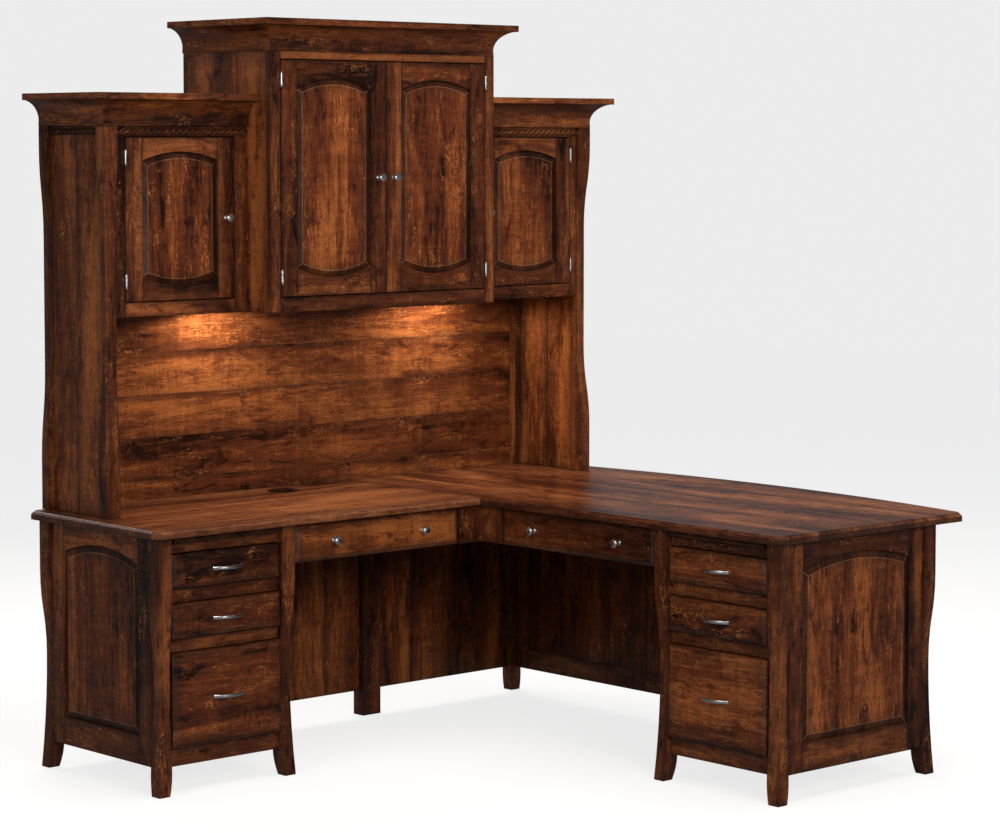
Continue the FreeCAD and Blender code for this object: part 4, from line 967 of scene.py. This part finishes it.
def roundedPlate(centre, width, height, thick, corner, axis):
    spin = facing(axis)
    rim = []
    for sx, sy, start in ((1, 1, 0), (-1, 1, 90), (-1, -1, 180), (1, -1, 270)):
        for turn in range(0, 91, 18):
            angle = math.radians(start + turn)
            rim.append((sx * (width / 2 - corner) + corner * math.cos(angle),
                        sy * (height / 2 - corner) + corner * math.sin(angle)))
    edge = thick * 0.25
    points = []
    for inset, out in ((0.0, 0.0), (0.0, thick - edge), (edge, thick)):
        for x, y in rim:
            fit = Vector((x * (1 - inset * 2 / width), y * (1 - inset * 2 / height), out))
            points.append(centre + spin @ fit)
    return points, ringFaces(3, len(rim))


screwSet = {
    "segments": 16,
    # share of the radius, height in metres, whether the ring is square
    "rings": [(1.0, 0.0, False), (0.97, 0.00025, False), (0.8, 0.00045, False), (0.42, 0.00045, True),
              (0.36, -0.0006, True)],
}


def screwHead(centre, radius, axis):
    # a countersunk head with a square drive
    spin = facing(axis)
    count = screwSet["segments"]
    points = []
    for size, out, squared in screwSet["rings"]:
        for step in range(count):
            angle = math.tau * step / count
            c, d = math.cos(angle), math.sin(angle)
            grow = 1 / max(abs(c), abs(d)) if squared else 1
            local = Vector((c * grow * size * radius, d * grow * size * radius, out))
            points.append(centre + spin @ local)
    return points, ringFaces(len(screwSet["rings"]), count)


def makeHinge(whole, low, high, side):
    # the barrel stands in front of the door's hung edge, its leaf runs back between door and frame
    radius = hingeSet["radius"]
    tall = high.z - low.z
    centre = Vector((low.x + radius if side < 0 else high.x - radius, low.y + radius, low.z))
    count = hingeSet["knuckles"]
    groove = hingeSet["groove"]
    profile = [(0.0008, -hingeSet["tip"]), (0.0022, -hingeSet["tip"] * 0.85), (0.003, -hingeSet["tip"] * 0.5),
               (0.0022, -0.0008), (0.0026, 0.0), (radius * 0.93, 0.0)]
    for knuckle in range(count):
        start, end = tall * knuckle / count, tall * (knuckle + 1) / count
        profile += [(radius, start + groove), (radius, end - groove), (radius * 0.9, end)]
    top = [(r, tall - h) for r, h in reversed(profile[:5])]
    addPart(whole, turned(profile + top, hingeSet["segments"], centre, "+Z"))
    leafFace = centre.x - side * hingeSet["leafGap"]
    leafMiddle = centre.y + hingeSet["leafWidth"] / 2 + hingeSet["leafBack"]
    place = Vector((leafFace, leafMiddle, low.z + tall / 2))
    plate = (hingeSet["leafWidth"], tall, hingeSet["leafThick"], hingeSet["corner"])
    addPart(whole, roundedPlate(place, *plate, "-X" if side > 0 else "+X"))


def fittingAxis(name):
    return "-X" if name.startswith("main_") else "-Y"


bodies = frame["record"]["behaviour"]["bodies"]
bodyOf = {node: body for body, members in bodies.items() for node in members}


def makeDoorAndDrawerFittings():
    for name in sorted(fittings):
        mesh = nodes[name].data
        whole = ([], [])
        for indices in findBoards(mesh, touching=True):
            low, high = boxOf(mesh, indices)
            if name.endswith("_pull"):
                makePull(whole, low, high, fittingAxis(name))
            elif high.z - low.z > hingeSet["tallerThan"]:
                makeHinge(whole, low, high, -1 if "_left_" in name else 1)
            else:
                makeKnobs(whole, low, high, fittingAxis(name))
        newPiece(name.replace("_hardware", "_fittings") + "_turned", *whole, metals["satinNickel"],
                 bodyOf[name], (name,), "satin_nickel")


def makeFixedLeaves():
    mesh = nodes["fixed_hinge_leaves"].data
    doors = [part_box(name) for name in nodes if name.endswith("_door_frame")]
    whole = ([], [])
    for indices in findBoards(mesh):
        low, high = boxOf(mesh, indices)
        centre = (low + high) / 2
        # the leaf lies on the stile beside it, with its screws towards the door
        nearest = min(doors, key=lambda box: min(abs(box[0].x - centre.x), abs(box[1].x - centre.x)))
        inward = "-X" if centre.x > (nearest[0].x + nearest[1].x) / 2 else "+X"
        back = Vector((low.x if inward == "+X" else high.x, centre.y, centre.z))
        wide, tall, thick = high.y - low.y, high.z - low.z, high.x - low.x
        addPart(whole, roundedPlate(back, wide, tall, thick, hingeSet["corner"], inward))
        for step in (-1, 1):
            spot = back + facing(inward) @ Vector((0, step * tall * hingeSet["screwAt"], thick * 0.85))
            addPart(whole, screwHead(spot, hingeSet["screw"], inward))
    newPiece("hinge_leaves", *whole, metals["satinNickel"], bodyOf["fixed_hinge_leaves"],
             ("fixed_hinge_leaves",), "satin_nickel")


ropeSet = {"tone": 0.7, "strands": 3, "pitch": 0.07, "groove": 0.42, "step": 0.0016, "around": 20}


def makeRopes():
    mesh = nodes["rope_mouldings"].data
    for number, indices in enumerate(findBoards(mesh)):
        low, high = boxOf(mesh, indices)
        middle = (low + high) / 2
        size = high - low
        run = 0 if size.x > size.y else 1
        flat = 1 - run
        if run == 0:
            axis, back = "-Y", high.y
        else:
            axis, back = ("-X", high.x) if middle.x < 0 else ("+X", low.x)
        radius, length = size[flat], size[run]
        rows = int(length / ropeSet["step"])
        place = middle.copy()
        place[flat] = back
        spin = facing(axis)
        points, faces, grooveShadeAtPoints = [], [], []
        around = ropeSet["around"]
        for row in range(rows + 1):
            along = length * (row / rows - 0.5)
            for step in range(around + 1):
                angle = math.pi * step / around
                twist = angle + math.tau * along / ropeSet["pitch"]
                lobe = abs(math.cos(ropeSet["strands"] / 2 * twist))
                reach = radius * (1 - ropeSet["groove"] * (1 - lobe ** 0.7))
                # painted shade in the grooves between strands, darkest at the bottom of a groove
                grooveShadeAtPoints.append(min(1.0, 1.25 * (1 - lobe) ** 0.6))
                local = Vector((along, reach * math.cos(angle), reach * math.sin(angle)))
                points.append(place + spin @ local)
        wide = around + 1
        for row in range(rows):
            for step in range(around):
                a = row * wide + step
                faces.append((a, a + 1, a + 1 + wide, a + wide))
            faces.append((row * wide, row * wide + wide, row * wide + 2 * wide - 1, row * wide + wide - 1))
        faces.append(tuple(range(wide)))
        faces.append(tuple(range(rows * wide, rows * wide + wide)))
        piece = newPiece(f"rope_moulding_{number + 1}", points, faces, maples["stainedMaple"],
                         bodyOf["rope_mouldings"], ("rope_mouldings",), "stained_maple", 75)
        grainBoards(piece.data)
        # the groove shade goes into the end-grain darkening mask, so the rope's grooves are painted darker as
        # shade
        grooveShadeAtCorners = [grooveShadeAtPoints[loop.vertex_index] for loop in piece.data.loops]
        tones = [ropeSet["tone"]] * len(grooveShadeAtCorners)
        piece.data.attributes["boardEndGrainAndGrooveShade"].data.foreach_set("value", grooveShadeAtCorners)
        piece.data.attributes["boardTone"].data.foreach_set("value", tones)


puckSet = {  # radius and height of the two turned parts, in mm, down from the cabinet floor
    "segments": 56,
    "housing": [(33.4, 0), (34.0, 0.6), (34.0, 9.6), (33.2, 11.2), (31.6, 12.0), (29.4, 12.0), (28.2, 11.3),
                (27.6, 10.2), (27.5, 8.6)],
    "lens": [(27.4, 8.6), (27.4, 9.2), (26.0, 9.7), (24.8, 9.5), (23.6, 9.9), (20.0, 10.3), (14.0, 10.8),
             (8.0, 11.1), (2.0, 11.2)],
    "power": 8, "colour": (1.0, 0.93, 0.84), "cone": 172, "blend": 0.25, "soft": 0.02, "below": 0.004,
}


def makePucks():
    mesh = nodes["puck_lights"].data
    for number, indices in enumerate(findBoards(mesh)):
        low, high = boxOf(mesh, indices)
        place = Vector(((low.x + high.x) / 2, (low.y + high.y) / 2, high.z))
        for part, material in (("housing", lampWhite), ("lens", lampGlow)):
            profile = [(r / 1000, h / 1000) for r, h in puckSet[part]]
            points, faces = turned(profile, puckSet["segments"], place, "-Z")
            newPiece(f"puck_{part}_{number + 1}", points, faces, material, bodyOf["puck_lights"],
                     ("puck_lights",), "lamp")
        data = bpy.data.lights.new(f"puckBeam{number + 1}", "SPOT")
        data.energy = puckSet["power"]
        data.color = puckSet["colour"]
        data.spot_size = math.radians(puckSet["cone"])
        data.spot_blend = puckSet["blend"]
        data.shadow_soft_size = puckSet["soft"]
        beam = bpy.data.objects.new(data.name, data)
        beam.location = (place.x, place.y, low.z - puckSet["below"])
        beam.visible_glossy = False
        scene.collection.objects.link(beam)


runnerSet = {  # one side's section as shares of its width and height, from the wall out
    "section": [(0, 0), (0.88, 0), (1, 0.05), (1, 0.2), (0.84, 0.2), (0.84, 0.08), (0.14, 0.08), (0.14, 0.3),
                (0.55, 0.3), (0.62, 0.34), (0.62, 0.66), (0.55, 0.7), (0.14, 0.7), (0.14, 0.92), (0.84, 0.92),
                (0.84, 0.8), (1, 0.8), (1, 0.95), (0.88, 1), (0, 1)],
    "screws": 3, "screw": 0.0038, "screwFace": 0.62,
}


def makeRunners():
    mesh = nodes["drawer_runners"].data
    boards = [boxOf(mesh, indices) for indices in findBoards(mesh)]
    whole = ([], [])
    for low, high in boards:
        size = high - low
        run = 0 if size.x > size.y else 1
        flat = 1 - run
        middle = (low + high) / 2
        # the wall is on the side away from the runner's opposite number
        level = [box for box in boards if box[0] is not low and abs(box[0].z - low.z) < 0.001]
        across = [box[0][flat] for box in level if abs(box[0][run] - low[run]) < 0.001]
        twin = min((at for at in across if at != low[flat]), key=lambda at: abs(at - low[flat]))
        wall, out = (low[flat], 1) if twin > low[flat] else (high[flat], -1)
        count = len(runnerSet["section"])
        points = []
        for end in (low[run], high[run]):
            for deep, up in runnerSet["section"]:
                point = middle.copy()
                point[run] = end
                point[flat] = wall + out * deep * size[flat]
                point.z = low.z + up * size.z
                points.append(point)
        addPart(whole, (points, ringFaces(2, count)))
        axis = {(0, 1): "+X", (0, -1): "-X"}.get((flat, out))
        if axis:
            for step in range(runnerSet["screws"]):
                spot = middle.copy()
                spot[run] = low[run] + size[run] * (step + 0.5) / runnerSet["screws"]
                spot[flat] = wall + out * runnerSet["screwFace"] * size[flat]
                addPart(whole, screwHead(spot, runnerSet["screw"], axis))
    newPiece("steel_runners", *whole, metals["runnerZinc"], bodyOf["drawer_runners"], ("drawer_runners",),
             "runner_steel")


makeDoorAndDrawerFittings()
makeFixedLeaves()
makeRopes()
makePucks()
makeRunners()

metalLightSet = {
    "place": (-4.2, -4.6, 2.9), "aim": (0, 0, 1), "size": (1.0, 1.0), "power": 120,
    "colour": (0.96, 0.98, 1), "mirrored": True, "onWood": True,
}


def lightMetal():
    # a softbox that only the metal fittings receive
    shiny = bpy.data.collections.new("metalFittings")
    for piece in scene.objects:
        if piece.type == "MESH" and piece.data.materials and piece.data.materials[0] == metals["satinNickel"]:
            shiny.objects.link(piece)
    lamp = makeSoftbox("metalSoftbox", metalLightSet)
    lamp.light_linking.receiver_collection = shiny


def shadeCaps():
    # the cap boards lie out of the back light's reach
    apart = bpy.data.collections.new("capBoards")
    apart.objects.link(nodes["crown_mouldings"])
    apart.collection_objects[0].light_linking.link_state = "EXCLUDE"
    bpy.data.objects["topSoftbox"].light_linking.receiver_collection = apart


def finishGrommet():
    for name in grommetNodes:
        ring = nodes[name]
        dropNormals(ring.data)
        ring.data.attributes.new("boardNumber", "FLOAT", "FACE")
        ring.data.materials.clear()
        ring.data.materials.append(metals["pewter"])
        softenEdges(ring, woodSet["ringEdge"])


lightMetal()
shadeCaps()
finishGrommet()
print("fittings, ropes, lights and runners are on")
